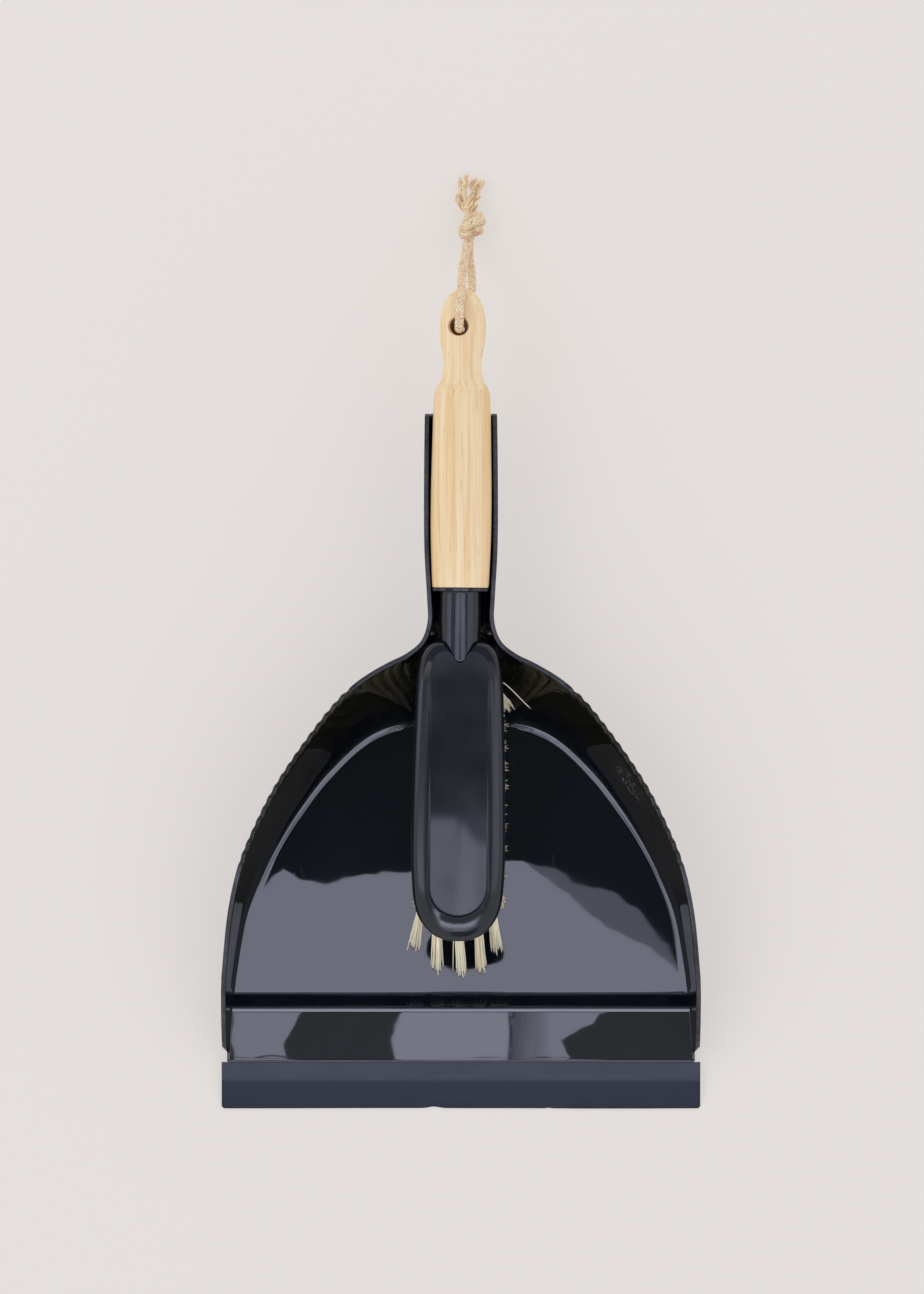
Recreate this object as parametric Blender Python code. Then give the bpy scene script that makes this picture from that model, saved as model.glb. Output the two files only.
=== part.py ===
"""A dustpan with its hand brush nested in it, lying flat: pan, rubber lip, brush head, bristle tufts,
wooden handle and hanging cord. Lengths are in millimetres until MM turns them into Blender's metres.
The origin is under the middle of the set, +Y runs to the hanging end, -Y to the lip, +Z is up."""

import math

import bmesh
import bpy
from mathutils import Matrix, Vector
from mathutils.bvhtree import BVHTree

MM = 0.001
GAP = 0.3

# Dustpan
SHEET = 2.2
FLOOR_TOP = SHEET
FLAT_END_Y = -141.2
CREST_Y = (-147.2, -148.8)
CREST_TOP = 8.3
RAMP_END_Y = -173.3
RAMP_END_TOP = 3.7
TROUGH_FLAT = 1.5
TROUGH_POWER = 2.8
FILLET = 0.12
TOOTH_PITCH = 6.0
TOOTH_DEPTH = 1.4
TEETH_FROM, TEETH_TO = 10.0, 15.0
PLACES_ALONG_RIM = 400
# Where the pan is cut, counted in ribs: behind the comb teeth and in front of them
BEHIND_TEETH = (0, 0.25, 0.5, 1, 1.5, 2, 3, 4, 4.5, 5, 5.4, 5.8, 6.2, 6.6, 7, 7.5, 8, 8.5, 9, 9.5)
BEFORE_TEETH = (15.5, 16, 16.5, 17)
# The steps up a wall, as shares of its height
WALL_STEPS = (0.0, 0.07, 0.16, 0.3, 0.5, 0.75, 1.0)
# Each rib is a cut through the wall: its top (x, y, z), its foot (x, y, z) and how round the cut is.
RIBS = (
    (15.0, 136.5, 43.6, TROUGH_FLAT, 136.5, 34.2, 1.0),
    (15.2, 131.0, 48.2, TROUGH_FLAT, 131.0, 34.2, 1.0),
    (15.5, 98.0, 48.6, TROUGH_FLAT, 98.0, 34.2, 1.0),
    (15.3, 72.0, 48.6, TROUGH_FLAT, 72.0, 34.2, 1.0),
    (14.1, 50.0, 48.6, TROUGH_FLAT, 50.0, 34.2, 1.0),
    (13.8, 37.0, 48.7, TROUGH_FLAT, 37.0, 33.4, 1.0),
    (17.3, 26.8, 49.1, TROUGH_FLAT, 26.0, 27.0, 0.9),
    (25.0, 20.3, 49.5, TROUGH_FLAT, 12.0, 12.5, 0.6),
    (34.1, 16.0, 49.8, TROUGH_FLAT, -1.0, 4.4, 0.3),
    (43.4, 10.8, 50.0, 17.0, -9.8, FLOOR_TOP, 0.1),
    (51.3, 4.9, 50.0, 35.5, -14.3, FLOOR_TOP, 0.0),
    (59.7, -3.4, 50.0, 49.5, -22.3, FLOOR_TOP, 0.0),
    (73.6, -21.4, 49.6, 65.5, -38.0, FLOOR_TOP, 0.0),
    (87.5, -42.3, 48.6, 78.0, -54.5, FLOOR_TOP, 0.0),
    (97.6, -62.3, 47.0, 87.0, -69.0, FLOOR_TOP, 0.0),
    (104.7, -80.2, 44.8, 94.3, -83.5, FLOOR_TOP, 0.0),
    (109.6, -103.4, 40.6, 102.5, -104.4, FLOOR_TOP, 0.0),
    (112.5, -133.0, 31.0, 107.6, -133.0, FLOOR_TOP, 0.0),
)
# Down the mouth's sides: y, the wall's top (x, z) and its foot's x.
MOUTH = (
    (FLAT_END_Y, 112.7, 27.6, 108.4),
    (CREST_Y[0], 112.7, 25.0, 109.2),
    (CREST_Y[1], 112.7, 24.2, 109.4),
    (-156.0, 112.6, 20.6, 110.0),
    (-163.5, 112.4, 16.4, 110.4),
    (-167.0, 112.3, 12.6, 110.6),
    (-168.5, 112.2, 8.4, 110.6),
    (-169.2, 112.0, 4.5, 110.6),
    (RAMP_END_Y, 112.0, RAMP_END_TOP, 110.6),
)

# Rubber lip: half-widths, and its section as (y, z), first the part in the open, then the tongue under
# the pan, which is narrower. Its two front points are drawn in at the corners.
LIP_HALF, LIP_TONGUE_HALF, LIP_NOSE = 114.6, 110.0, 1.2
LIP_NOSE_POINTS = ((-196.0, 0.0), (-196.0, 0.9))
LIP_TOP_POINTS = ((-182.0, 3.6), (-173.6, 3.9))
LIP_TONGUE_POINTS = ((-173.6, 1.0), (-164.0, 1.6), (-164.0, 0.0))

# Brush
AXIS_Z = 46.0
YAW = math.radians(-0.5)
YAW_AT_Y = 80.0
HEAD_TOP, HEAD_BOTTOM = 56.4, 40.0
NECK_R = 9.87
NECK_NOSE = (13.5, 6.0, 18.5)  # the neck starts here, at this radius, and is full here
# The slot in the head's top that the neck comes out of, as (x, y)
NOTCH = ((0.0, 17.4), (10.1, 29.0), (10.1, 32.0), (-10.1, 32.0), (-10.1, 29.0))
NOTCH_BOTTOM, NOTCH_TOP = 44.5, 59.4
# The head's half outline from the neck to the front, as (half-width, y)
HEAD_OUTLINE = (
    (0.0, 28.6), (8.0, 28.4), (13.2, 27.0), (16.8, 23.6), (19.1, 18.6), (20.6, 9.0), (21.4, -10.0),
    (22.2, -40.0), (22.5, -71.0), (22.0, -87.0), (20.6, -98.5), (17.2, -106.6), (11.8, -112.2),
    (5.6, -114.9), (0.0, -115.4),
)
# Rings of the head from its underside up, as (height, inset)
HEAD_RINGS = (
    (HEAD_BOTTOM, 1.0), (HEAD_BOTTOM + 1.2, 0.0), (51.5, 0.0), (54.0, 0.9), (55.6, 2.6), (HEAD_TOP, 5.4),
    (56.0, 8.0),
)
# The wooden handle's cuts, as (y, half-width, half-thickness)
HANDLE_CUTS = (
    (53.8, 13.0, 10.3), (54.6, 13.5, 10.9), (66.0, 14.05, 11.2), (81.0, 14.5, 11.4), (100.0, 14.5, 11.4),
    (119.0, 14.15, 11.3), (138.4, 13.7, 11.1), (145.6, 13.3, 10.7), (148.9, 12.3, 9.9), (150.8, 11.3, 8.6),
    (154.2, 9.8, 7.4), (159.4, 9.1, 7.0), (164.7, 9.7, 7.0), (170.0, 10.6, 7.0), (177.0, 11.1, 7.0),
    (182.0, 10.8, 7.0), (187.0, 9.7, 6.8), (191.0, 8.0, 6.1), (194.0, 5.6, 4.7), (195.6, 2.9, 2.8),
    (196.0, 1.2, 1.2),
)
HANDLE_SIDES, HANDLE_SQUARENESS = 20, 2.35
HOLE_AT, HOLE_R, HOLE_HALF = (-1.7, 178.2), 4.4, 12.0
BORE_R, BORE_FROM_Y, BORE_TO_Y = 6.4, 50.0, 81.0
DRILL_SIDES = 16
COLLAR = (51.5, 53.4, 13.7, 10.8)
TANG_R, TANG_TO_Y = 6.0, 80.0

# Tufts
TUFT_R, TUFT_TIP_R, TUFT_HOLE_R, TUFT_SET = 1.9, 3.2, 2.3, 5.5
ROW_FROM_Y, ROW_PITCH, ROW_COUNT = 8.0, 9.8, 11
COLUMNS = ((-15.6, -20.6), (-5.2, -6.2), (5.2, 6.6), (15.6, 22.4))
# Every tuft leans forward by LEAN, and the last rows by ROW_LEAN more for each row past STEEP_ROW.
LEAN, ROW_LEAN, STEEP_ROW = 1.0, 3.5, 8
TIP_Z, TIP_CLEARANCE = 3.0, 1.6
REACH_STEPS, SHORTEST_REACH = 50, 10
HOLE_OVERSHOOT = 3.0
# The fan at the front: root (x, y) and tip (x, y)
FAN = (
    ((-17.4, -99.4), (-21.0, -120.0)), ((-9.6, -106.0), (-9.6, -130.0)), ((0.2, -109.0), (2.0, -132.0)),
    ((9.6, -106.0), (11.4, -130.5)), ((16.6, -100.2), (19.0, -120.5)), ((0.2, -98.6), (1.0, -112.0)),
)

# Hanging cord: hand-placed points of its two legs, of its knot and of its frayed ends
CORD_D = 4.3
FRONT_LEG = (
    (-0.9, 176.4, 46.3), (-0.9, 176.7, 49.8), (-0.9, 178.2, 53.1), (-0.8, 181.4, 55.7), (-0.6, 186.0, 56.0),
    (-0.3, 190.4, 55.3), (0.0, 194.6, 53.2), (0.3, 198.4, 48.9), (0.5, 202.0, 42.8), (0.8, 205.8, 35.4),
    (1.2, 209.6, 27.6), (1.6, 213.2, 20.0), (2.1, 216.4, 13.4), (2.7, 219.0, 9.2),
)
BACK_LEG = (
    (-0.9, 176.4, 45.7), (-0.9, 176.6, 42.2), (-0.8, 177.9, 38.8), (-0.1, 180.8, 36.0), (1.6, 185.4, 35.5),
    (3.8, 191.4, 35.0), (5.4, 196.0, 32.2), (5.6, 200.2, 27.6), (5.4, 204.2, 21.8), (5.1, 208.2, 15.6),
    (4.8, 212.0, 10.2), (4.6, 215.8, 6.6), (4.6, 219.0, 5.0),
)
KNOT_AT, KNOT_HALF = (4.7, 226.6, 7.2), (6.3, 7.0, 6.6)
FRAYS = {
    "cord_fray_left": ((1.9, 234.6, 6.2), (0.8, 238.4, 4.6), (0.4, 243.6, 3.6), (1.4, 251.0, 3.2)),
    "cord_fray_right": ((7.6, 234.4, 6.2), (8.0, 238.2, 4.4), (9.2, 242.6, 3.6), (9.8, 248.2, 3.2)),
}
FRAY_R, FRAY_TAPER = 2.6, 0.6
KNOT_RINGS, KNOT_SIDES = 8, 12

# Base colour and roughness of each material
FINISHES = {
    "navy_gloss_plastic": ((0.012, 0.014, 0.022), 0.18),
    "navy_satin_plastic": ((0.022, 0.026, 0.040), 0.42),
    "dark_rubber": ((0.045, 0.055, 0.080), 0.60),
    "pale_hardwood": ((0.80, 0.60, 0.36), 0.50),
    "ivory_bristle": ((0.80, 0.74, 0.56), 0.45),
    "jute": ((0.62, 0.44, 0.28), 0.90),
}


def clear_scene():
    """Removes everything that the scene starts with."""
    for item in list(bpy.data.objects):
        bpy.data.objects.remove(item, do_unlink=True)


def finish(name):
    """The Principled material of this name, in one colour."""
    colour, roughness = FINISHES[name]
    material = bpy.data.materials.new(name)
    material.use_nodes = True
    shader = material.node_tree.nodes["Principled BSDF"]
    shader.inputs["Base Color"].default_value = (*colour, 1.0)
    shader.inputs["Roughness"].default_value = roughness
    return material


def add_mesh(name, points, faces, material=None, parent=None, smooth_below=35):
    """An object of these points (mm) and faces, its normals facing out, smooth below an angle."""
    mesh = bpy.data.meshes.new(name)
    shape = bmesh.new()
    corners = [shape.verts.new(Vector(p) * MM) for p in points]
    for face in faces:
        shape.faces.new([corners[i] for i in face])
    bmesh.ops.recalc_face_normals(shape, faces=shape.faces)
    shape.to_mesh(mesh)
    shape.free()
    mesh.shade_smooth()
    mesh.set_sharp_from_angle(angle=math.radians(smooth_below))
    if material:
        mesh.materials.append(material)
    item = bpy.data.objects.new(name, mesh)
    bpy.context.scene.collection.objects.link(item)
    item.parent = parent
    return item


def grid_faces(rows, columns, start=0, flip=False):
    """The quads of a rows x columns grid of points numbered from start."""
    faces = []
    for i in range(rows - 1):
        for j in range(columns - 1):
            a = start + i * columns + j
            quad = (a, a + 1, a + columns + 1, a + columns)
            faces.append(quad[::-1] if flip else quad)
    return faces


def tube_of_rings(rings):
    """(points, faces) of a closed body through rings of equal size."""
    sides = len(rings[0])
    points = [p for ring in rings for p in ring]
    faces = []
    for i in range(len(rings) - 1):
        for j in range(sides):
            k = (j + 1) % sides
            faces.append((i * sides + j, i * sides + k, (i + 1) * sides + k, (i + 1) * sides + j))
    last = (len(rings) - 1) * sides
    faces.append(tuple(range(sides))[::-1])
    faces.append(tuple(range(last, last + sides)))
    return points, faces


def helper(item):
    """Hides an object that only cuts or joins another."""
    item.hide_render = True
    item.display_type = "WIRE"
    return item


def combine(item, other, operation):
    """Joins or cuts item with other, which is hidden."""
    modifier = item.modifiers.new(operation.lower(), "BOOLEAN")
    modifier.operation = operation
    modifier.solver = "EXACT"
    modifier.object = helper(other)


def spline(points, at):
    """The smooth curve through points, at a place counted in points from the first."""
    k = min(int(at), len(points) - 2)
    f = at - k
    before, after = points[max(k - 1, 0)], points[min(k + 2, len(points) - 1)]
    found = []
    for a, b, c, d in zip(before, points[k], points[k + 1], after):
        square, cube = 2 * a - 5 * b + 4 * c - d, 3 * b - a - 3 * c + d
        found.append(0.5 * (2 * b + (c - a) * f + square * f**2 + cube * f**3))
    return found


# ---------------------------------------------------------------- dustpan


def floor_top(y):
    """The height of the pan's floor, dam and front ramp."""
    if y > FLAT_END_Y:
        return FLOOR_TOP
    if y > CREST_Y[0]:
        return FLOOR_TOP + (CREST_TOP - FLOOR_TOP) * (FLAT_END_Y - y) / (FLAT_END_Y - CREST_Y[0])
    if y > CREST_Y[1]:
        return CREST_TOP
    return CREST_TOP + (RAMP_END_TOP - CREST_TOP) * (CREST_Y[1] - y) / (CREST_Y[1] - RAMP_END_Y)


def rim_places(step):
    """Places along the ribs, step mm apart on the rim between the first and last comb tooth."""
    share = (TEETH_TO - TEETH_FROM) / PLACES_ALONG_RIM
    fine = [TEETH_FROM + i * share for i in range(PLACES_ALONG_RIM + 1)]
    run, along = 0.0, [0.0]
    for a, b in zip(fine, fine[1:]):
        run += (Vector(spline(RIBS, b)[:3]) - Vector(spline(RIBS, a)[:3])).length
        along.append(run)
    teeth = round(run / TOOTH_PITCH)
    count = round(teeth * TOOTH_PITCH / step)
    places, k = [], 0
    for i in range(count + 1):
        goal = run * i / count
        while k < len(along) - 2 and along[k + 1] < goal:
            k += 1
        share = (goal - along[k]) / (along[k + 1] - along[k])
        places.append((fine[k] + share * (fine[k + 1] - fine[k]), teeth * i / count))
    return places


def pan_cuts():
    """Each cut through half the pan: (rim, foot, roundness, depth of the tooth gap)."""
    cuts = [(spline(RIBS, at), 0.0) for at in BEHIND_TEETH]
    for at, tooth in rim_places(TOOTH_PITCH / 2):
        cuts.append((spline(RIBS, at), TOOTH_DEPTH * (1 - math.cos(2 * math.pi * tooth)) / 2))
    cuts += [(spline(RIBS, at), 0.0) for at in BEFORE_TEETH]
    cuts = [(Vector(v[:3]), Vector(v[3:6]), v[6], gap) for v, gap in cuts]
    for y, x, z, foot in MOUTH:
        cuts.append((Vector((x, y, z)), Vector((foot, y, floor_top(y))), 0.0, 0.0))
    return cuts


def wall_shape(s, roundness):
    """How far out and how far up a wall is at s, from 0 at its foot to 1 at its rim."""
    slope_up = (math.sqrt(s * s + FILLET**2) - FILLET) / (math.sqrt(1 + FILLET**2) - FILLET)
    angle = s * math.pi / 2
    out = roundness * math.sin(angle) ** (2 / TROUGH_POWER) + (1 - roundness) * s
    up = roundness * (1 - max(math.cos(angle), 0.0) ** (2 / TROUGH_POWER)) + (1 - roundness) * slope_up
    return out, up


def wall_point(rim, foot, roundness, s):
    """The point at s of the wall between a rim point and its foot."""
    out, up = wall_shape(s, roundness)
    back = out ** (1 + min(1.0, 2 * roundness))
    return Vector((
        foot.x + (rim.x - foot.x) * out,
        foot.y + (rim.y - foot.y) * back,
        foot.z + (rim.z - foot.z) * up,
    ))


def pan_surfaces():
    """The rows of points of the pan's upper surface and of its lower one, each over half the pan."""
    upper, smooth = [], []
    for rim, foot, roundness, gap in pan_cuts():
        long = max((rim - foot).length, 1.0)
        centre = Vector((0, foot.y, foot.z))
        upper.append([centre] + [wall_point(rim, foot, roundness, s * (1 - gap / long)) for s in WALL_STEPS])
        smooth.append([centre] + [wall_point(rim, foot, roundness, s) for s in WALL_STEPS])
    lower = []
    for i, row in enumerate(smooth):
        before, after = smooth[max(i - 1, 0)], smooth[min(i + 1, len(smooth) - 1)]
        under = []
        for j, _ in enumerate(row):
            along = after[j] - before[j]
            across = row[min(j + 1, len(row) - 1)] - row[max(j - 1, 0)]
            out = across.cross(along).normalized()
            if j <= 1 and row[j].z <= CREST_TOP + 0.1:
                out = Vector((0, 0, -1))
            if j == 0:
                out = Vector((0, out.y, out.z)).normalized()
            below = upper[i][j] + out * SHEET
            below.z = max(below.z, 0.0)
            under.append(below)
        lower.append(under)
    return upper, lower


def whole_rows(half):
    """Rows over the whole width, from those of the +X half, which start on the centre line."""
    return [[Vector((-p.x, p.y, p.z)) for p in row[:0:-1]] + row for row in half]


def make_pan(material):
    """The pan: floor, walls with their comb, trough, dam and ramp, all one sheet."""
    upper, lower = (whole_rows(half) for half in pan_surfaces())
    rows, columns = len(upper), len(upper[0])
    points = [p for row in upper for p in row] + [p for row in lower for p in row]
    under = rows * columns
    faces = grid_faces(rows, columns) + grid_faces(rows, columns, under, flip=True)
    for i in range(rows - 1):
        for j in (0, columns - 1):
            a = i * columns + j
            faces.append((a, a + columns, under + a + columns, under + a))
    for i in (0, rows - 1):
        for j in range(columns - 1):
            a = i * columns + j
            faces.append((a, a + 1, under + a + 1, under + a))
    return add_mesh("dustpan_body", points, faces, material)


def make_lip(material):
    """The rubber strip: a section drawn across the pan's mouth, its front corners cut off."""
    rings = []
    for x in (-LIP_HALF, -LIP_HALF + LIP_NOSE, LIP_HALF - LIP_NOSE, LIP_HALF):
        cut = LIP_NOSE if abs(x) == LIP_HALF else 0.0
        ring = [Vector((x, y + cut, z)) for y, z in LIP_NOSE_POINTS]
        ring += [Vector((x, y, z)) for y, z in LIP_TOP_POINTS]
        ring += [Vector((x * LIP_TONGUE_HALF / LIP_HALF, y, z)) for y, z in LIP_TONGUE_POINTS]
        rings.append(ring)
    points, faces = tube_of_rings(rings)
    return add_mesh("rubber_lip", points, faces, material)


# ---------------------------------------------------------------- brush


def oval_ring(y, half_width, half_height, sides=24, power=2.0, centre=(0.0, AXIS_Z)):
    """An upright oval across Y, squarer the higher its power."""
    ring = []
    for i in range(sides):
        angle = 2 * math.pi * i / sides
        c, s = math.cos(angle), math.sin(angle)
        x = math.copysign(abs(c) ** (2 / power), c) * half_width
        z = math.copysign(abs(s) ** (2 / power), s) * half_height
        ring.append(Vector((centre[0] + x, y, centre[1] + z)))
    return ring


def cylinder_between(a, b, radius, sides=8, end_radius=None, middle=None):
    """Rings of a round body from a to b, with an optional (point, radius) between them."""
    a, b = Vector(a), Vector(b)
    turn = (b - a).to_track_quat("Z", "Y")
    stops = [(a, radius)] + ([middle] if middle else []) + [(b, radius if end_radius is None else end_radius)]
    rings = []
    for place, r in stops:
        ring = []
        for i in range(sides):
            angle = 2 * math.pi * i / sides
            ring.append(Vector(place) + turn @ Vector((r * math.cos(angle), r * math.sin(angle), 0)))
        rings.append(ring)
    return rings


def brush_frame():
    """The empty that holds the brush, turned a little in the pan as the brush lies."""
    frame = bpy.data.objects.new("brush_frame", None)
    bpy.context.scene.collection.objects.link(frame)
    pivot = Matrix.Translation((0, YAW_AT_Y * MM, 0))
    frame.matrix_world = pivot @ Matrix.Rotation(YAW, 4, "Z") @ pivot.inverted()
    return frame


def make_handle(material, parent):
    """The wooden handle, drilled across for the cord and along for the head's tang."""
    rings = [oval_ring(y, w, t, HANDLE_SIDES, HANDLE_SQUARENESS) for y, w, t in HANDLE_CUTS]
    handle = add_mesh("wooden_handle", *tube_of_rings(rings), material, parent)
    low, high = (*HOLE_AT, AXIS_Z - HOLE_HALF), (*HOLE_AT, AXIS_Z + HOLE_HALF)
    hole = cylinder_between(low, high, HOLE_R, DRILL_SIDES)
    bore = cylinder_between((0, BORE_FROM_Y, AXIS_Z), (0, BORE_TO_Y, AXIS_Z), BORE_R, DRILL_SIDES)
    combine(handle, add_mesh("hole_cutter", *tube_of_rings(hole), parent=parent), "DIFFERENCE")
    combine(handle, add_mesh("bore_cutter", *tube_of_rings(bore), parent=parent), "DIFFERENCE")
    return handle


def head_ring(height, inset):
    """The head's outline at one height, drawn in by the inset."""
    half = [spline(HEAD_OUTLINE, i / 2) for i in range(2 * len(HEAD_OUTLINE) - 1)]
    rear, front = HEAD_OUTLINE[0][1], HEAD_OUTLINE[-1][1]
    middle, long = (rear + front) / 2, (rear - front) / 2
    wide = max(x for x, _ in HEAD_OUTLINE)
    shrunk = [(x * (1 - inset / wide), middle + (y - middle) * (1 - inset / long)) for x, y in half]
    outline = shrunk + [(-x, y) for x, y in shrunk[-2:0:-1]]
    return [Vector((x, y, height)) for x, y in outline]


def tuft_places():
    """(name, root, tip) of every tuft, in rows from the neck and then in the fan at the front."""
    places = []
    for i in range(ROW_COUNT):
        y = ROW_FROM_Y - i * ROW_PITCH
        lean = -LEAN - ROW_LEAN * max(0, i - STEEP_ROW)
        for j, (root_x, tip_x) in enumerate(COLUMNS):
            places.append((f"tuft_{i + 1:02d}_{j + 1}", (root_x, y), (tip_x, y + lean)))
    for i, (root, tip) in enumerate(FAN):
        places.append((f"tuft_front_{i + 1}", root, tip))
    return places


def clear_height(pan_tree, frame, x, y):
    """The lowest height at which a tuft's tip clears the pan under it."""
    found = TIP_Z
    for dx, dy in ((0, 0), (1, 0), (-1, 0), (0, 1), (0, -1), (0.7, 0.7), (-0.7, 0.7)):
        place = Vector(((x + dx * TUFT_TIP_R), (y + dy * TUFT_TIP_R), 70)) * MM
        hit = pan_tree.ray_cast(frame.matrix_world @ place, Vector((0, 0, -1)))[0]
        if hit:
            found = max(found, hit.z / MM + TIP_CLEARANCE)
    return found


def tuft_end(pan_tree, frame, root, tip):
    """The end of a tuft that reaches towards its tip as far as the pan lets it."""
    mouth, full = Vector((*root, HEAD_BOTTOM)), Vector((*tip, TIP_Z))
    for step in range(REACH_STEPS, SHORTEST_REACH, -1):
        end = mouth.lerp(full, step / REACH_STEPS)
        if clear_height(pan_tree, frame, end.x, end.y) <= end.z + 1e-6:
            break
    return end


def make_brush_head(material, parent):
    """The head, with the neck, collar and tang that come out of the slot in its rear end."""
    rings = [head_ring(height, inset) for height, inset in HEAD_RINGS]
    head = add_mesh("brush_head", *tube_of_rings(rings), material, parent)
    notch = [[Vector((x, y, z)) for x, y in NOTCH] for z in (NOTCH_BOTTOM, NOTCH_TOP)]
    combine(head, add_mesh("notch_cutter", *tube_of_rings(notch), parent=parent), "DIFFERENCE")
    nose_y, nose_r, full_y = NECK_NOSE
    rear, front, width, height = COLLAR
    neck = [oval_ring(nose_y, nose_r, nose_r), oval_ring(full_y, NECK_R, NECK_R)]
    neck += [oval_ring(rear, NECK_R, NECK_R)]
    neck += [oval_ring(rear + 0.01, width, height), oval_ring(front, width, height)]
    neck += [oval_ring(front + 0.01, TANG_R, TANG_R), oval_ring(TANG_TO_Y, TANG_R, TANG_R)]
    combine(head, add_mesh("neck_shape", *tube_of_rings(neck), parent=parent), "UNION")
    return head


def make_tufts(head, pan, material, parent):
    """The tufts, each in the slanting hole that it is stapled into."""
    tree = BVHTree.FromObject(pan, bpy.context.evaluated_depsgraph_get())
    points, faces = [], []
    for name, root, tip in tuft_places():
        mouth = Vector((*root, HEAD_BOTTOM))
        end = tuft_end(tree, parent, root, tip)
        lean = (end - mouth).normalized()
        hole = cylinder_between(mouth - lean * (TUFT_SET + GAP), mouth + lean * HOLE_OVERSHOOT, TUFT_HOLE_R)
        more_points, more_faces = tube_of_rings(hole)
        faces += [tuple(k + len(points) for k in face) for face in more_faces]
        points += more_points
        rings = cylinder_between(mouth - lean * TUFT_SET, end, TUFT_R, 8, TUFT_TIP_R, (mouth, TUFT_R))
        add_mesh(name, *tube_of_rings(rings), material, parent)
    combine(head, add_mesh("tuft_hole_cutter", points, faces, parent=parent), "DIFFERENCE")


# ---------------------------------------------------------------- hanging cord


def make_cord_leg(name, route, material, radius=CORD_D / 2, taper=1.0):
    """A round cord along the smooth curve through its route."""
    curve = bpy.data.curves.new(name, "CURVE")
    curve.dimensions = "3D"
    curve.bevel_depth = radius * MM
    curve.bevel_resolution = 2
    curve.use_fill_caps = True
    count = 2 * (len(route) - 1)
    line = curve.splines.new("POLY")
    line.points.add(count)
    for i in range(count + 1):
        at = (len(route) - 1) * i / count
        line.points[i].co = (*(Vector(spline(route, at)) * MM), 1.0)
        line.points[i].radius = 1.0 + (taper - 1.0) * i / count
    curve.materials.append(material)
    cord = bpy.data.objects.new(name, curve)
    bpy.context.scene.collection.objects.link(cord)
    return cord


def make_knot(material):
    """The knot, as the plain egg that it fills."""
    x, y, z = KNOT_AT
    wide, long, high = KNOT_HALF
    rings = []
    for k in range(1, KNOT_RINGS):
        angle = math.pi * k / KNOT_RINGS - math.pi / 2
        at, share = y + long * math.sin(angle), math.cos(angle)
        rings.append(oval_ring(at, wide * share, high * share, KNOT_SIDES, centre=(x, z)))
    return add_mesh("cord_knot", *tube_of_rings(rings), material)


def main():
    """Builds every piece, the pan first, since the tufts stop at it."""
    clear_scene()
    pan = make_pan(finish("navy_gloss_plastic"))
    make_lip(finish("dark_rubber"))
    frame = brush_frame()
    bpy.context.view_layer.update()
    make_handle(finish("pale_hardwood"), frame)
    head = make_brush_head(finish("navy_satin_plastic"), frame)
    make_tufts(head, pan, finish("ivory_bristle"), frame)
    jute = finish("jute")
    make_cord_leg("cord_front_leg", FRONT_LEG, jute)
    make_cord_leg("cord_back_leg", BACK_LEG, jute)
    make_knot(jute)
    for name, route in FRAYS.items():
        make_cord_leg(name, route, jute, FRAY_R, FRAY_TAPER)


main()
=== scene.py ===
"""The looks of a dustpan with its hand brush nested in it: glossy moulded pan, rubber lip, satin brush
head, bristle tufts, wooden handle and a frayed jute hanging cord, seen from straight above."""

import random
from math import atan, copysign, cos, exp, floor, hypot, pi, radians, sin, sqrt, tan

import bmesh
import bpy
import numpy as np
from mathutils import Matrix, Vector
from mathutils.bvhtree import BVHTree


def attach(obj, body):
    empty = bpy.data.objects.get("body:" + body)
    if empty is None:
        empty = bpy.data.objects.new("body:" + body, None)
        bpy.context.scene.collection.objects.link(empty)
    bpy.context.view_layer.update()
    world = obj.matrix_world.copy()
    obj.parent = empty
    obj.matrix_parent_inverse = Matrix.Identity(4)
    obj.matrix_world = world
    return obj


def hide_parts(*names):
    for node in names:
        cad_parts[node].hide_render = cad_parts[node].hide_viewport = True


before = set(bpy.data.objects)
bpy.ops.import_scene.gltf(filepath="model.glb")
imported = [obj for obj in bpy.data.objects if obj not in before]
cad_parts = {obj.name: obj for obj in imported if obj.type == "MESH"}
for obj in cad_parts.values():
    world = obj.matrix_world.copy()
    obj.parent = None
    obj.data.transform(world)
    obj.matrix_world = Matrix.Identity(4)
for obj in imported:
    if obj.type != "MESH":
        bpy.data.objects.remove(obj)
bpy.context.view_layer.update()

MM = 0.001
SEED = 20

# Camera, in metres
VIEW_AT = (0.0005, 0.0251, 0.030)
VIEW_DISTANCE = 14.0
VIEW_TALL = 0.6185
SENSOR = 36.0
# Studio, in millimetres
FLOOR_HALF, PAPER_Z = 15000, -0.3
SOFTBOX_Z = 600.0
FLAG_Z = SOFTBOX_Z - 4
GLOW = (0.98, 1.01, 1.27)
SKY_LEVEL, SKY_OVERHEAD = 1.0, 0.10
SKY_FADE = (0.87, 0.975)  # the upward part of the directions between which the sky dims
KEY_AT, KEY_SIZE, KEY_WATTS = (-1.3, 0.55, 1.7), 0.9, 3.0  # metres

# Dustpan, in millimetres
SHEET = 2.2
FLOOR_TOP = SHEET
FLAT_END_Y = -141.2
CREST_Y = (-147.2, -148.8)
CREST_TOP = 8.3
RAMP_END_Y = -173.3
RAMP_END_TOP = 3.7
TROUGH_FLAT = 1.5
TROUGH_POWER = 2.8
FILLET = 0.12
TOOTH_PITCH = 6.0
TOOTH_DEPTH = 1.4
TOOTH_POWER = 1.3
TEETH_FROM, TEETH_TO = 10.0, 15.0
RIM_R = 0.5
RIM_LESS_SHEEN, RIM_LESS_SHEEN_Y = 0.78, ((10, 2), (-80, -73))  # how much less satin and painted sheen the rim has, and along which y
FLOOR_COLUMNS, WALL_COLUMNS, RIM_COLUMNS = 24, 26, 6
COVE_SLOPE = 0.2
PIP_AT, PIP_R, PIP_LONG = (13.0, 31.6, 47.6), 1.5, 2.6
GLINT_SQUIGGLES_AT = (0.0775, -0.0425, 0.0340)  # where the painted reflection squiggles on the right wall centre, in metres
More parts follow.
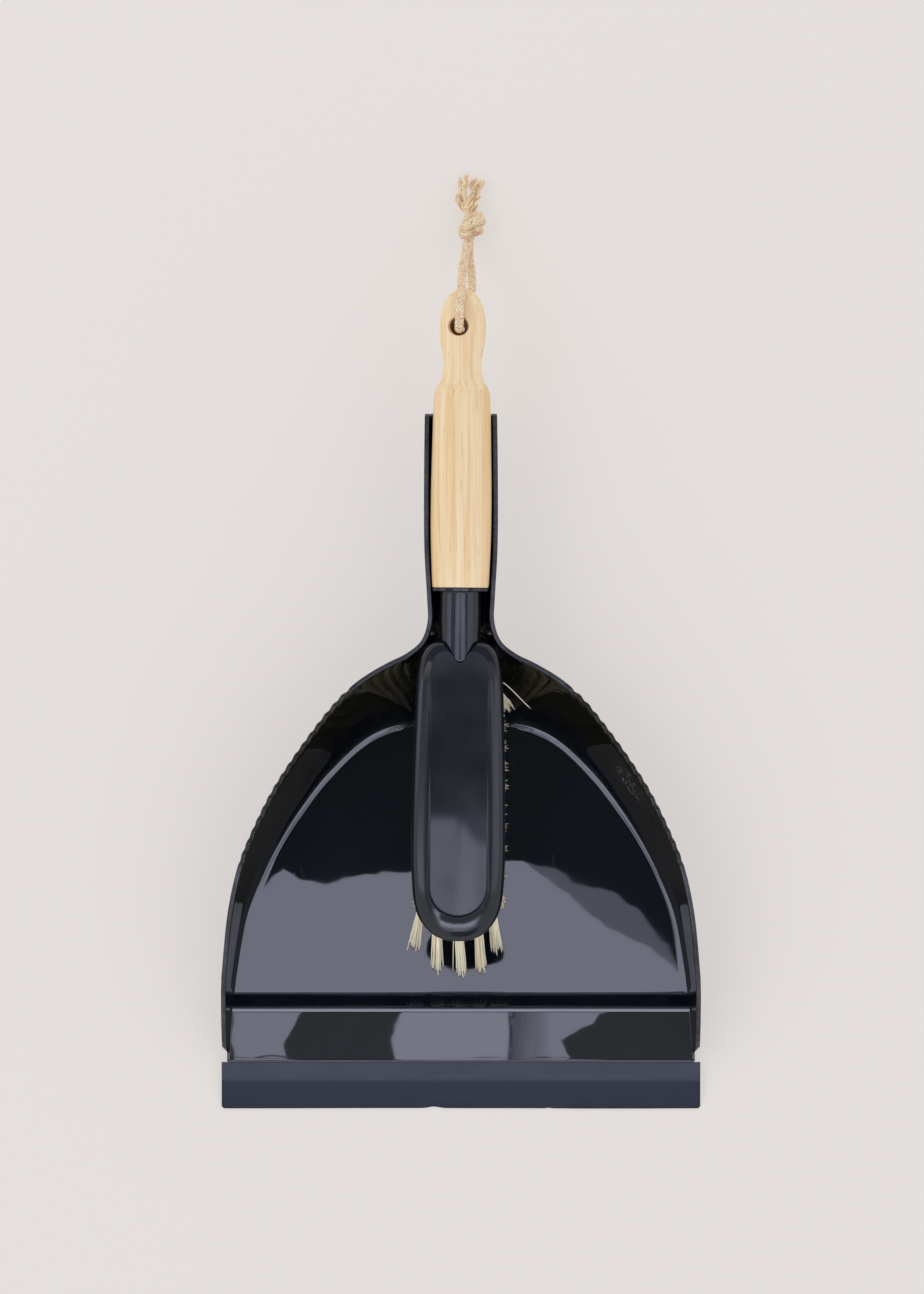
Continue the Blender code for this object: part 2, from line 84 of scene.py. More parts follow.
# Each rib is a cut through the wall: its top (x, y, z), its foot (x, y, z) and how round the cut is.
RIBS = (
    (15.0, 136.5, 43.6, TROUGH_FLAT, 136.5, 34.2, 1.0),
    (15.2, 131.0, 48.2, TROUGH_FLAT, 131.0, 34.2, 1.0),
    (15.5, 98.0, 48.6, TROUGH_FLAT, 98.0, 34.2, 1.0),
    (15.3, 72.0, 48.6, TROUGH_FLAT, 72.0, 34.2, 1.0),
    (14.1, 50.0, 48.6, TROUGH_FLAT, 50.0, 34.2, 1.0),
    (13.8, 37.0, 48.7, TROUGH_FLAT, 37.0, 33.4, 1.0),
    (17.3, 26.8, 49.1, TROUGH_FLAT, 26.0, 27.0, 0.9),
    (25.0, 20.3, 49.5, TROUGH_FLAT, 12.0, 12.5, 0.6),
    (34.1, 16.0, 49.8, TROUGH_FLAT, -1.0, 4.4, 0.3),
    (43.4, 10.8, 50.0, 17.0, -9.8, FLOOR_TOP, 0.1),
    (51.3, 4.9, 50.0, 35.5, -14.3, FLOOR_TOP, 0.0),
    (59.7, -3.4, 50.0, 49.5, -22.3, FLOOR_TOP, 0.0),
    (73.6, -21.4, 49.6, 65.5, -38.0, FLOOR_TOP, 0.0),
    (87.5, -42.3, 48.6, 78.0, -54.5, FLOOR_TOP, 0.0),
    (97.6, -62.3, 47.0, 87.0, -69.0, FLOOR_TOP, 0.0),
    (104.7, -80.2, 44.8, 94.3, -83.5, FLOOR_TOP, 0.0),
    (109.6, -103.4, 40.6, 102.5, -104.4, FLOOR_TOP, 0.0),
    (112.5, -133.0, 31.0, 107.6, -133.0, FLOOR_TOP, 0.0),
)
# Down the mouth's sides: y, the wall's top (x, z) and its foot's x. Cuts follow at about MOUTH_STEP.
MOUTH_STEP = 0.5
MOUTH = (
    (-134.0, 112.5, 30.6, 107.7),
    (FLAT_END_Y, 112.7, 27.6, 108.4),
    (CREST_Y[0], 112.7, 25.0, 109.2),
    (CREST_Y[1], 112.7, 24.2, 109.4),
    (-156.0, 112.6, 20.6, 110.0),
    (-163.5, 112.4, 16.4, 110.4),
    (-167.0, 112.3, 12.6, 110.6),
    (-168.5, 112.2, 8.4, 110.6),
    (-169.2, 112.0, 4.5, 110.6),
    (RAMP_END_Y, 112.0, RAMP_END_TOP, 110.6),
)

# Rubber lip: half-width, and its section from the front edge over the top and back, as (y, z)
LIP_HALF, LIP_TUCK_HALF, LIP_FRONT_Y = 114.6, 110.0, -196.0
LIP_SECTION = (
    (-195.5, 0.0), (-195.9, 0.2), (-196.0, 0.5), (-195.8, 0.85), (-195.2, 1.1), (-192.0, 1.72),
    (-188.0, 2.5), (-184.0, 3.24), (-182.4, 3.52), (-181.6, 3.62), (-179.0, 3.7), (-176.0, 3.82),
    (-174.0, 3.9), (-173.7, 3.86), (-173.6, 3.7), (-173.6, 1.0), (-164.0, 1.6), (-164.0, 0.0),
)
LIP_END = 1.4  # how far in from its ends the strip rounds over
LIP_STEPS = 240
LIP_NICKS = ((-13.0, 3.2, 0.75), (42.0, 1.2, 0.3))  # x, width and depth of the nicks in its front edge
LIP_FLASH_WIDE, LIP_FLASH_HIGH = 1.6, 0.55

# Brush
AXIS_Z = 46.0
YAW = radians(-0.5)
YAW_AT_Y = 80.0
HEAD_TOP, HEAD_BOTTOM = 56.4, 40.0
NECK_R = 9.87
NOTCH = (
    (0.0, 17.5), (1.3, 17.8), (2.4, 19.0), (3.2, 20.8), (10.1, 29.0), (10.1, 32.0),
    (-10.1, 32.0), (-10.1, 29.0), (-3.2, 20.8), (-2.4, 19.0), (-1.3, 17.8),
)
NOTCH_BOTTOM = 44.5
# The head's half outline from the neck to the front, as (half-width, y)
HEAD_OUTLINE = (
    (0.0, 28.6), (8.0, 28.4), (13.2, 27.0), (16.8, 23.6), (19.1, 18.6), (20.6, 9.0), (21.4, -10.0),
    (22.2, -40.0), (22.5, -71.0), (22.0, -87.0), (20.6, -98.5), (17.2, -106.6), (11.8, -112.2),
    (5.6, -114.9), (0.0, -115.4),
)
PANEL_HALF, PANEL_FRONT_Y, PANEL_REAR_Y, PANEL_DEPTH = 13.9, -103.6, 14.0, 0.45
PANEL_EDGE = 0.6
PANEL_SLOPE, PANEL_BEND_Y = 0.026, -56.0  # the panel falls away a little towards its front
# The wooden handle's cuts, as (y, half-width, half-thickness)
HANDLE_CUTS = (
    (53.8, 13.0, 10.3), (54.6, 13.5, 10.9), (66.0, 14.05, 11.2), (81.0, 14.5, 11.4), (100.0, 14.5, 11.4),
    (119.0, 14.15, 11.3), (138.4, 13.7, 11.1), (145.6, 13.3, 10.7), (148.9, 12.3, 9.9), (150.8, 11.3, 8.6),
    (154.2, 9.8, 7.4), (159.4, 9.1, 7.0), (164.7, 9.7, 7.0), (170.0, 10.6, 7.0), (177.0, 11.1, 7.0),
    (182.0, 10.8, 7.0), (187.0, 9.7, 6.8), (191.0, 8.0, 6.1), (194.0, 5.6, 4.7), (195.6, 2.9, 2.8),
    (196.0, 1.2, 1.2),
)
HOLE_AT, HOLE_R, HOLE_SIDES = (-1.7, 178.2), 4.4, 48
SHOULDER_AT, SHOULDER_R = (-1.0, 176.9), 1.85
BORE_R, BORE_TO_Y = 6.4, 81.0
COLLAR_REAR, COLLAR_FRONT, COLLAR_WIDE, COLLAR_HIGH = 51.5, 53.4, 13.7, 10.8
TANG_R, TANG_TO_Y = 6.0, 80.0
# The head's neck, collar and tang, as rings at (y, half-width, half-height)
NECK_RINGS = (
    (13.5, 6.0, 6.0), (18.5, NECK_R, NECK_R), (18.8, NECK_R, NECK_R), (COLLAR_REAR - 0.8, NECK_R, NECK_R),
    (COLLAR_REAR - 0.5, NECK_R, NECK_R), (COLLAR_REAR, NECK_R + 0.4, NECK_R + 0.4),
    (COLLAR_REAR + 0.05, COLLAR_WIDE - 0.4, COLLAR_HIGH - 0.3),
    (COLLAR_REAR + 0.35, COLLAR_WIDE, COLLAR_HIGH), (COLLAR_FRONT - 0.3, COLLAR_WIDE, COLLAR_HIGH),
    (COLLAR_FRONT, COLLAR_WIDE - 0.3, COLLAR_HIGH - 0.3), (COLLAR_FRONT + 0.01, TANG_R, TANG_R),
    (TANG_TO_Y, TANG_R, TANG_R),
)

# Tufts
TUFT_R, TUFT_TIP_R, TUFT_HOLE_R, TUFT_SET = 1.9, 3.2, 2.3, 5.5
BRISTLE_R, BRISTLES, BRISTLE_SIDES, BRISTLE_STEPS = 0.27, 42, 5, 7
OVER_PAN = 0.4  # how far above the pan a bristle stops
# The tuft whose bristles are spread out sideways, and one bristle of it that sticks out
SPLAYED_TUFT, SPLAYED_TIP, SPLAYED_FLARE = "tuft_01_4", (23.2, -4.5, 26.0), 1.15
STRAY_BRISTLE = (
    (15.8, 8.6, 45.0), (17.6, 9.0, 41.0), (19.4, 8.9, 39.0), (21.6, 7.8, 38.5), (24.6, 5.2, 38.5),
    (27.8, 2.0, 38.2), (31.0, -1.2, 37.6), (34.2, -4.2, 36.8),
)

# Hanging cord: listed points of its two legs, of its knot and of its frayed ends
CORD_D = 4.3
FRONT_LEG = (
    (-0.9, 176.4, 46.3), (-0.9, 176.7, 49.8), (-0.9, 178.2, 53.1), (-0.8, 181.4, 55.7), (-0.6, 186.0, 56.0),
    (-0.3, 190.4, 55.3), (0.0, 194.6, 53.2), (0.3, 198.4, 48.9), (0.5, 202.0, 42.8), (0.8, 205.8, 35.4),
    (1.4, 209.6, 27.6), (2.1, 213.2, 20.0), (2.7, 216.4, 13.4), (3.1, 219.0, 9.2),
)
BACK_LEG = (
    (-0.9, 176.4, 45.7), (-0.9, 176.6, 42.2), (-0.8, 177.9, 38.8), (-0.1, 180.8, 36.0), (1.6, 185.4, 35.5),
    (3.8, 191.4, 35.0), (5.2, 196.0, 32.2), (5.3, 200.2, 27.6), (5.0, 204.2, 21.8), (4.5, 208.2, 15.6),
    (4.0, 212.0, 10.2), (3.8, 215.8, 6.6), (4.1, 219.0, 5.0),
)
CORD_STEP = 0.35
LEG_HAIRS, KNOT_HAIRS, FRAY_HAIRS = 70, 40, 26


# ---- meshes


def add_mesh(name, points, faces, material=None, smooth_below=40):
    """An object of these points (mm) and faces, its normals facing out, smooth below an angle."""
    mesh = bpy.data.meshes.new(name)
    mesh.from_pydata([tuple(c * MM for c in p) for p in points], [], faces)
    shape = bmesh.new()
    shape.from_mesh(mesh)
    bmesh.ops.recalc_face_normals(shape, faces=shape.faces)
    shape.to_mesh(mesh)
    shape.free()
    mesh.shade_smooth()
    mesh.set_sharp_from_angle(angle=radians(smooth_below))
    if material:
        mesh.materials.append(material)
    item = bpy.data.objects.new(name, mesh)
    bpy.context.scene.collection.objects.link(item)
    return item


def ring_faces(count, sides, start=0):
    """The quads of a tube of count rings of points numbered from start."""
    faces = []
    for i in range(count - 1):
        for j in range(sides):
            k = (j + 1) % sides
            a, b = start + i * sides, start + (i + 1) * sides
            faces.append((a + j, a + k, b + k, b + j))
    return faces


def capped_faces(count, sides, start=0):
    """The same tube's quads and its two end caps."""
    last = start + (count - 1) * sides
    caps = [tuple(range(start, start + sides))[::-1], tuple(range(last, last + sides))]
    return ring_faces(count, sides, start) + caps


def tube_of_rings(rings):
    """(points, faces) of a closed body through rings of equal size."""
    return [p for ring in rings for p in ring], capped_faces(len(rings), len(rings[0]))


def ring_about(p, across, r, sides, start=0.0):
    """A ring of points round p in the plane of two directions."""
    side, other = across
    ring = []
    for k in range(sides):
        angle = 2 * pi * k / sides + start
        ring.append(p + side * (cos(angle) * r) + other * (sin(angle) * r))
    return ring


def set_values(item, label, values):
    """Gives each point of item its value of an attribute."""
    layer = item.data.attributes.new(label, "FLOAT", "POINT")
    layer.data.foreach_set("value", np.array(values, np.float32))


def join_parts(parts):
    """One (points, faces) of several."""
    points, faces = [], []
    for more_points, more_faces in parts:
        faces += [tuple(k + len(points) for k in face) for face in more_faces]
        points += list(more_points)
    return points, faces


def combine(item, other, operation):
    """Joins or cuts item with other, applies it, and removes other."""
    modifier = item.modifiers.new(operation.lower(), "BOOLEAN")
    modifier.operation = operation
    modifier.solver = "EXACT"
    modifier.object = other
    bpy.context.view_layer.update()
    graph = bpy.context.evaluated_depsgraph_get()
    made = bpy.data.meshes.new_from_object(item.evaluated_get(graph))
    item.modifiers.remove(modifier)
    item.data = made
    bpy.data.objects.remove(other, do_unlink=True)
    made.shade_smooth()
    made.set_sharp_from_angle(angle=radians(40))


def spline(points, at):
    """The smooth curve through points, at a place counted in points from the first."""
    k = min(int(at), len(points) - 2)
    f = at - k
    before, after = points[max(k - 1, 0)], points[min(k + 2, len(points) - 1)]
    found = []
    for a, b, c, d in zip(before, points[k], points[k + 1], after):
        bend, twist = 2 * a - 5 * b + 4 * c - d, 3 * b - a - 3 * c + d
        found.append(0.5 * (2 * b + (c - a) * f + bend * f**2 + twist * f**3))
    return found


def smoothstep(low, high, x):
    """From 0 at low to 1 at high, with soft ends."""
    t = min(max((x - low) / (high - low), 0.0), 1.0)
    return t * t * (3 - 2 * t)


def oval_ring(y, half_width, half_height, sides=72, power=2.0):
    """A ring about the brush's axis at y: an ellipse, or squarer where power is over 2."""
    ring = []
    for i in range(sides):
        angle = 2 * pi * i / sides
        c, s = cos(angle), sin(angle)
        x = copysign(abs(c) ** (2 / power), c) * half_width
        z = copysign(abs(s) ** (2 / power), s) * half_height
        ring.append(Vector((x, y, AXIS_Z + z)))
    return ring


def round_rings(stops, sides=24):
    """Rings of a round body through (place, radius) stops along a straight line."""
    a, b = Vector(stops[0][0]), Vector(stops[-1][0])
    turn = (b - a).to_track_quat("Z", "Y")
    rings = []
    for centre, r in stops:
        ring = []
        for i in range(sides):
            angle = 2 * pi * i / sides
            ring.append(Vector(centre) + turn @ Vector((r * cos(angle), r * sin(angle), 0)))
        rings.append(ring)
    return rings


def brush_turn():
    """The small turn that the brush lies at in the pan."""
    pivot = Matrix.Translation((0, YAW_AT_Y * MM, 0))
    return pivot @ Matrix.Rotation(YAW, 4, "Z") @ pivot.inverted()


def turned(item):
    """The item, turned as the brush lies."""
    item.data.transform(brush_turn())
    return item


def place(item, body, slot, *nodes):
    """Puts a piece on its body and hides the nodes that it stands for; slot is not used."""
    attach(item, body)
    if nodes:
        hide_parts(*nodes)
    return item


# ---- materials


class Shader:
    """A material's nodes: each call adds one and returns its output."""

    def __init__(self, name):
        """A new material whose textures follow the object's own coordinates."""
        self.material = bpy.data.materials.new(name)
        self.material.use_nodes = True
        self.tree = self.material.node_tree
        self.surface = self.tree.nodes["Principled BSDF"]
        self.coords = self.node("ShaderNodeTexCoord", "Object")

    def node(self, kind, output, inputs=(), **settings):
        """One output of a new node with these inputs."""
        made = self.tree.nodes.new(kind)
        for key, value in settings.items():
            setattr(made, key, value)
        for key, value in dict(inputs).items():
            self.fill(made.inputs[key], value)
        return made.outputs[output]

    def fill(self, socket, value):
        """Links or sets a socket."""
        if isinstance(value, bpy.types.NodeSocket):
            self.tree.links.new(value, socket)
        else:
            socket.default_value = value

    def finish(self, **values):
        """Fills these sockets of the surface shader and returns the material."""
        for key, value in values.items():
            self.fill(self.surface.inputs[key.replace("_", " ")], value)
        return self.material

    def scaled(self, scale):
        """Object coordinates stretched by scale."""
        return self.node("ShaderNodeMapping", "Vector", {"Vector": self.coords, "Scale": scale})

    def noise(self, scale, detail=4.0, rough=0.55, stretch=(1, 1, 1), distortion=0.0):
        """Noise from 0 to 1, scale counted per metre."""
        inputs = {
            "Vector": self.scaled(stretch), "Scale": scale, "Detail": detail,
            "Roughness": rough, "Distortion": distortion,
        }
        return self.node("ShaderNodeTexNoise", "Fac", inputs)

    def ramp(self, value, *stops):
        """A colour ramp of (place, colour or grey) stops."""
        made = self.tree.nodes.new("ShaderNodeValToRGB")
        self.fill(made.inputs["Fac"], value)
        elements = made.color_ramp.elements
        while len(elements) < len(stops):
            elements.new(0.5)
        for element, (at, colour) in zip(elements, stops):
            element.position = at
            element.color = (*colour, 1.0) if isinstance(colour, tuple) else (colour, colour, colour, 1.0)
        return made.outputs["Color"]

    def spread(self, value, low, high, to_low=0.0, to_high=1.0):
        """The value, with low to high spread over to_low to to_high and held there."""
        inputs = {"Value": value, 1: low, 2: high, 3: to_low, 4: to_high}
        return self.node("ShaderNodeMapRange", "Result", inputs)

    def mix(self, share, a, b, blend="MIX"):
        """Colour a with a share of b."""
        made = self.tree.nodes.new("ShaderNodeMix")
        made.data_type = "RGBA"
        made.blend_type = blend
        self.fill(made.inputs[0], share)
        self.fill(made.inputs[6], self.coloured(a))
        self.fill(made.inputs[7], self.coloured(b))
        return made.outputs[2]

    def coloured(self, value):
        """A colour's three numbers with its alpha; anything else as it is."""
        return (*value, 1.0) if isinstance(value, tuple) and len(value) == 3 else value

    def math(self, operation, a, b=0.0):
        """A sum of two values."""
        return self.node("ShaderNodeMath", "Value", {0: a, 1: b}, operation=operation)

    def attribute(self, name):
        """The mesh's own value of this name."""
        return self.node("ShaderNodeAttribute", "Fac", attribute_name=name)

    def distance(self, spot, centre):
        """How far spot is from centre, in metres."""
        return self.node("ShaderNodeVectorMath", "Value", {0: spot, 1: centre}, operation="DISTANCE")

    def axis(self, name):
        """The object coordinate along X, Y or Z, in metres."""
        return self.node("ShaderNodeSeparateXYZ", name, {"Vector": self.coords})

    def bump(self, height, strength, distance, below=None):
        """A bumped normal, on top of the one below."""
        inputs = {"Height": height, "Strength": strength, "Distance": distance}
        if below:
            inputs["Normal"] = below
        return self.node("ShaderNodeBump", "Normal", inputs)


def gloss_plastic():
    """Near-black navy polypropylene, mirror smooth, with handling haze, fine scratches and dust, a painted
    reflection tinting its walls olive-brown, painted reflection squiggles on the right wall and painted sheen
    on its rim.
    """
    s = Shader("pan_gloss_plastic")
    haze = s.noise(22, 5, 0.6)
    scuffs = s.noise(60, 6, 0.7, (1.0, 0.12, 1.0), 0.4)
    dust = s.noise(2600, 1, 0.5)
    height = s.axis("Z")
    # painted reflection: the walls are tinted from navy to olive-brown as they rise above the floor
    base = s.mix(s.spread(height, 0.004, 0.030), (0.0050, 0.0076, 0.0142), (0.0085, 0.0078, 0.0050))
    base = s.mix(1.0, base, s.ramp(haze, (0.35, 0.75), (0.75, 1.25)), "MULTIPLY")
    base = s.mix(s.spread(dust, 0.80, 0.84, 0.0, 0.25), base, (0.25, 0.24, 0.23))
    rim = s.attribute("rim")
    # painted sheen: the rim's colour is lifted to a mottled, lighter grey-navy
    rim_painted_sheen = s.ramp(s.noise(420, 4, 0.65), (0.30, (0.016, 0.017, 0.024)), (0.70, (0.056, 0.058, 0.078)))
    base = s.mix(rim, base, rim_painted_sheen)
    # painted reflection: light grey squiggles on the right wall, broken up by noise
    from_glint_squiggles = s.distance(s.coords, GLINT_SQUIGGLES_AT)
    squiggle = s.math("ABSOLUTE", s.math("SUBTRACT", s.noise(230, 2, 0.5, distortion=1.2), 0.5))
    squiggle = s.math("MULTIPLY", s.spread(squiggle, 0.022, 0.010), s.spread(from_glint_squiggles, 0.0125, 0.0085))
    breaks = s.spread(s.noise(900, 2, 0.5), 0.46, 0.54)
    base = s.mix(s.math("MULTIPLY", squiggle, breaks), base, (0.26, 0.26, 0.27))
    rough = s.spread(haze, 0.35, 0.8, 0.015, 0.032)
    scratch = s.spread(scuffs, 0.66, 0.72)
    rough = s.math("ADD", rough, s.math("MULTIPLY", scratch, 0.10))
    rough = s.math("ADD", rough, s.math("MULTIPLY", rim, 0.36))
    normal = s.bump(s.noise(9, 3, 0.5, (1.0, 1.0, 0.25)), 0.10, 0.0006)
    normal = s.bump(s.noise(34, 2, 0.45), 0.5, 0.0001, normal)
    normal = s.bump(scratch, 0.04, 0.00002, normal)
    dull = s.spread(s.noise(45, 4, 0.6, (1.0, 1.0, 0.5)), 0.35, 0.70, 0.18, 0.62)
    on_wall = s.spread(height, 0.010, 0.016)
    level = s.math("ADD", 0.5, s.math("MULTIPLY", on_wall, s.math("SUBTRACT", dull, 0.5)))
    return s.finish(Base_Color=base, Roughness=rough, Normal=normal, IOR=1.5, Specular_IOR_Level=level)


def satin_plastic():
    """The brush head's navy plastic: satin, faintly blotchy and rubbed."""
    s = Shader("head_satin_plastic")
    blotch = s.noise(55, 5, 0.6)
    scuffs = s.noise(90, 6, 0.7, (1.0, 0.10, 1.0), 0.5)
    fine = s.noise(900, 3, 0.6)
    base = s.mix(s.spread(blotch, 0.3, 0.8), (0.0055, 0.0072, 0.0125), (0.0088, 0.0105, 0.0165))
    scratch = s.spread(scuffs, 0.68, 0.74)
    base = s.mix(s.math("MULTIPLY", scratch, 0.10), base, (0.10, 0.11, 0.13))
    rough = s.spread(blotch, 0.3, 0.8, 0.125, 0.18)
    normal = s.bump(fine, 0.10, 0.00004)
    normal = s.bump(scratch, 0.05, 0.00003, normal)
    return s.finish(Base_Color=base, Roughness=rough, Normal=normal, IOR=1.45)


def lip_rubber():
    """Slate blue-grey rubber: mottled, with painted light on its streaked top band, darker towards the front
    edge.
    """
    s = Shader("lip_rubber")
    mottle = s.noise(38, 6, 0.65)
    grain = s.noise(700, 3, 0.6)
    streak = s.noise(30, 4, 0.6, (0.25, 1.6, 1.0))
    top_band = s.spread(s.axis("Y"), -0.1835, -0.1815)
    base = s.mix(s.spread(mottle, 0.25, 0.8), (0.012, 0.018, 0.034), (0.022, 0.030, 0.050))
    # painted light: the top band is painted a lighter, bluer grey in streaks, as if lit from above
    top_band_painted_light = s.mix(s.spread(streak, 0.3, 0.75), (0.034, 0.042, 0.068), (0.056, 0.064, 0.092))
    base = s.mix(top_band, base, top_band_painted_light)
    base = s.mix(s.spread(s.noise(1500, 2, 0.5), 0.70, 0.74, 0.0, 0.18), base, (0.22, 0.22, 0.24))
    rough = s.spread(mottle, 0.3, 0.8, 0.50, 0.70)
    normal = s.bump(grain, 0.25, 0.00006)
    return s.finish(Base_Color=base, Roughness=rough, Normal=normal, IOR=1.3)


def handle_wood():
    """Pale lacquered hardwood with long grain streaks along Y, painted shade that darkens and warms its
    rounded sides, and a dark brown cord hole that is partly burnt wood and partly painted shade.
    """
    s = Shader("handle_pale_wood")
    broad = s.noise(70, 3, 0.5, (1.0, 0.045, 0.9), 0.6)
    fine = s.noise(420, 5, 0.65, (1.0, 0.022, 1.0), 0.3)
    pores = s.noise(1500, 2, 0.6, (1.0, 0.030, 1.0))
    tone = s.ramp(
        broad, (0.25, (0.78, 0.52, 0.25)), (0.42, (0.88, 0.655, 0.385)), (0.55, (0.91, 0.72, 0.475)),
        (0.66, (0.87, 0.635, 0.36)), (0.80, (0.81, 0.56, 0.29)),
    )
    tone = s.mix(s.spread(fine, 0.46, 0.68, 0.0, 0.60), tone, (0.76, 0.46, 0.18))
    tone = s.mix(s.spread(fine, 0.44, 0.30, 0.0, 0.50), tone, (0.94, 0.80, 0.59))
    tone = s.mix(s.spread(pores, 0.64, 0.74, 0.0, 0.55), tone, (0.42, 0.24, 0.11))
    # painted shade: the rounded sides of the handle are painted darker and more orange
    edge = s.spread(s.math("ABSOLUTE", s.axis("X")), 0.0095, 0.0142, 0.0, 0.40)
    tone = s.mix(edge, tone, (0.70, 0.40, 0.13))
    x, y = HOLE_AT
    from_hole = s.distance(s.scaled((1, 1, 0)), (x * MM, y * MM, 0))
    # the cord hole's walls are painted dark brown: partly burnt wood, partly painted shade deep in the hole
    inside = s.math("LESS_THAN", from_hole, (HOLE_R + 0.15) * MM)
    tone = s.mix(inside, tone, s.mix(fine, (0.44, 0.21, 0.08), (0.72, 0.42, 0.19)))
    rough = s.spread(fine, 0.3, 0.8, 0.38, 0.55)
    normal = s.bump(fine, 0.10, 0.00008)
    normal = s.bump(pores, 0.12, 0.00004, normal)
    return s.finish(Base_Color=tone, Roughness=rough, Normal=normal, IOR=1.48)


def bristle():
    """Ivory plant-fibre bristles with painted shade darkening their tips."""
    s = Shader("ivory_bristle")
    along, own = s.attribute("along"), s.attribute("own")
    body = s.ramp(own, (0.0, (0.86, 0.76, 0.52)), (0.25, (0.97, 0.91, 0.72)), (1.0, (1.0, 0.97, 0.85)))
    # painted shade: the last few percent of each bristle is painted near black
    body = s.mix(s.spread(along, 0.955, 0.975, 0.0, 0.92), body, (0.05, 0.045, 0.05))
    vein = s.noise(1800, 2, 0.5, (1, 1, 0.12))
    normal = s.bump(vein, 0.2, 0.00003)
    rough = s.spread(vein, 0.3, 0.8, 0.38, 0.55)
    return s.finish(Base_Color=body, Roughness=rough, Normal=normal, IOR=1.5)


def jute(name, pale, dark, pink, fleck_colour=(0.42, 0.22, 0.11)):
    """Jute yarn: fibrous, flecked with brown and pink, with painted shade darkening the braid's grooves."""
    s = Shader(name)
    fibre = s.noise(1300, 4, 0.7, (1, 0.45, 1), 0.8)
    blotch = s.noise(260, 3, 0.6)
    fleck = s.noise(650, 2, 0.5)
    groove_shade, strand = s.attribute("groove"), s.attribute("strand")
    tone = s.mix(s.spread(fibre, 0.30, 0.62), dark, pale)
    tone = s.mix(s.spread(strand, 0.45, 1.0, 0.0, 0.75), tone, pink)
    tone = s.mix(s.spread(blotch, 0.50, 0.70, 0.0, 0.40), tone, pink)
    tone = s.mix(s.spread(fleck, 0.60, 0.68, 0.0, 0.75), tone, fleck_colour)
    # painted shade: points deep in a groove are darkened towards brown-black
    tone = s.mix(s.math("MULTIPLY", groove_shade, 0.75), tone, (0.26, 0.14, 0.07))
    normal = s.bump(fibre, 0.55, 0.00018)
    rough = s.spread(blotch, 0.3, 0.8, 0.80, 0.95)
    return s.finish(Base_Color=tone, Roughness=rough, Normal=normal, IOR=1.4)


def backdrop_paper():
    """Matte warm-grey studio paper on a light table, which softens the shadows."""
    s = Shader("studio_paper")
    tooth = s.noise(600, 3, 0.6)
    shade = s.mix(s.spread(tooth, 0.3, 0.7), (0.298, 0.2835, 0.2748), (0.302, 0.2875, 0.2788))
    return s.finish(
        Base_Color=shade, Normal=s.bump(tooth, 0.03, 0.0001), Roughness=0.95, IOR=1.2,
        Emission_Color=(0.5077, 0.4826, 0.4682, 1.0), Emission_Strength=1.0,
    )


# ---- studio


def make_camera():
    """A very long lens straight above the set, so that nothing shows in perspective."""
    data = bpy.data.cameras.new("camera")
    data.sensor_width = SENSOR
    data.lens = SENSOR * VIEW_DISTANCE / VIEW_TALL
    data.clip_end = 100
    camera = bpy.data.objects.new("camera", data)
    camera.location = Vector(VIEW_AT) + Vector((0, 0, VIEW_DISTANCE))
    bpy.context.scene.collection.objects.link(camera)
    bpy.context.scene.camera = camera
    bpy.context.scene.view_settings.view_transform = "Standard"


def make_floor():
    """The paper that the set lies on."""
    corners = [(x * FLOOR_HALF, y * FLOOR_HALF, PAPER_Z) for x, y in ((-1, -1), (1, -1), (1, 1), (-1, 1))]
    add_mesh("studio_floor", corners, [(0, 1, 2, 3)], backdrop_paper())


def make_world():
    """Light all round, dim close to straight overhead where the camera's own rig shades the table."""
    world = bpy.data.worlds.new("studio")
    world.use_nodes = True
    tree = world.node_tree
    background = tree.nodes["Background"]
    direction = tree.nodes.new("ShaderNodeTexCoord")
    split = tree.nodes.new("ShaderNodeSeparateXYZ")
    tree.links.new(direction.outputs["Generated"], split.inputs["Vector"])
    fade = tree.nodes.new("ShaderNodeMapRange")
    fade.interpolation_type = "SMOOTHSTEP"
    tree.links.new(split.outputs["Z"], fade.inputs["Value"])
    for socket, value in zip(fade.inputs[1:5], (*SKY_FADE, SKY_LEVEL, SKY_OVERHEAD)):
        socket.default_value = value
    background.inputs["Color"].default_value = (1.0, 1.0, 1.0, 1.0)
    tree.links.new(fade.outputs["Result"], background.inputs["Strength"])
    bpy.context.scene.world = world


def softbox(name, outline, strength, z=SOFTBOX_Z):
    """A glowing panel over the set, given in millimetres, that shows only in the glossy surfaces."""
    glow = bpy.data.materials.new(name + "_glow")
    glow.use_nodes = True
    tree = glow.node_tree
    tree.nodes.remove(tree.nodes["Principled BSDF"])
    emission = tree.nodes.new("ShaderNodeEmission")
    emission.inputs["Color"].default_value = (*GLOW, 1.0)
    emission.inputs["Strength"].default_value = strength
    tree.links.new(emission.outputs["Emission"], tree.nodes["Material Output"].inputs["Surface"])
    panel = add_mesh(name, [(x, y, z) for x, y in outline], [tuple(range(len(outline)))], glow)
    panel.visible_camera = False
    panel.visible_diffuse = False
    panel.visible_shadow = False


def from_floor(*places):
    """Where a panel's corners hang for their reflections in the pan's floor to fall at these places."""
    grow = SOFTBOX_Z / (VIEW_DISTANCE / MM)
    return [(x * (1 + grow), y + (y - VIEW_AT[1] / MM) * grow) for x, y in places]


def from_ramp(*places, z=SOFTBOX_Z):
    """The same for reflections in the sloping front ramp."""
    grow = z / (VIEW_DISTANCE / MM)
    tilt = 2 * atan((CREST_TOP - RAMP_END_TOP) / (CREST_Y[1] - RAMP_END_Y))
    found = []
    for x, y in places:
        aim = tilt + atan((VIEW_AT[1] / MM - y) / (VIEW_DISTANCE / MM))
        found.append((x * (1 + grow), y - z * tan(aim)))
    return found


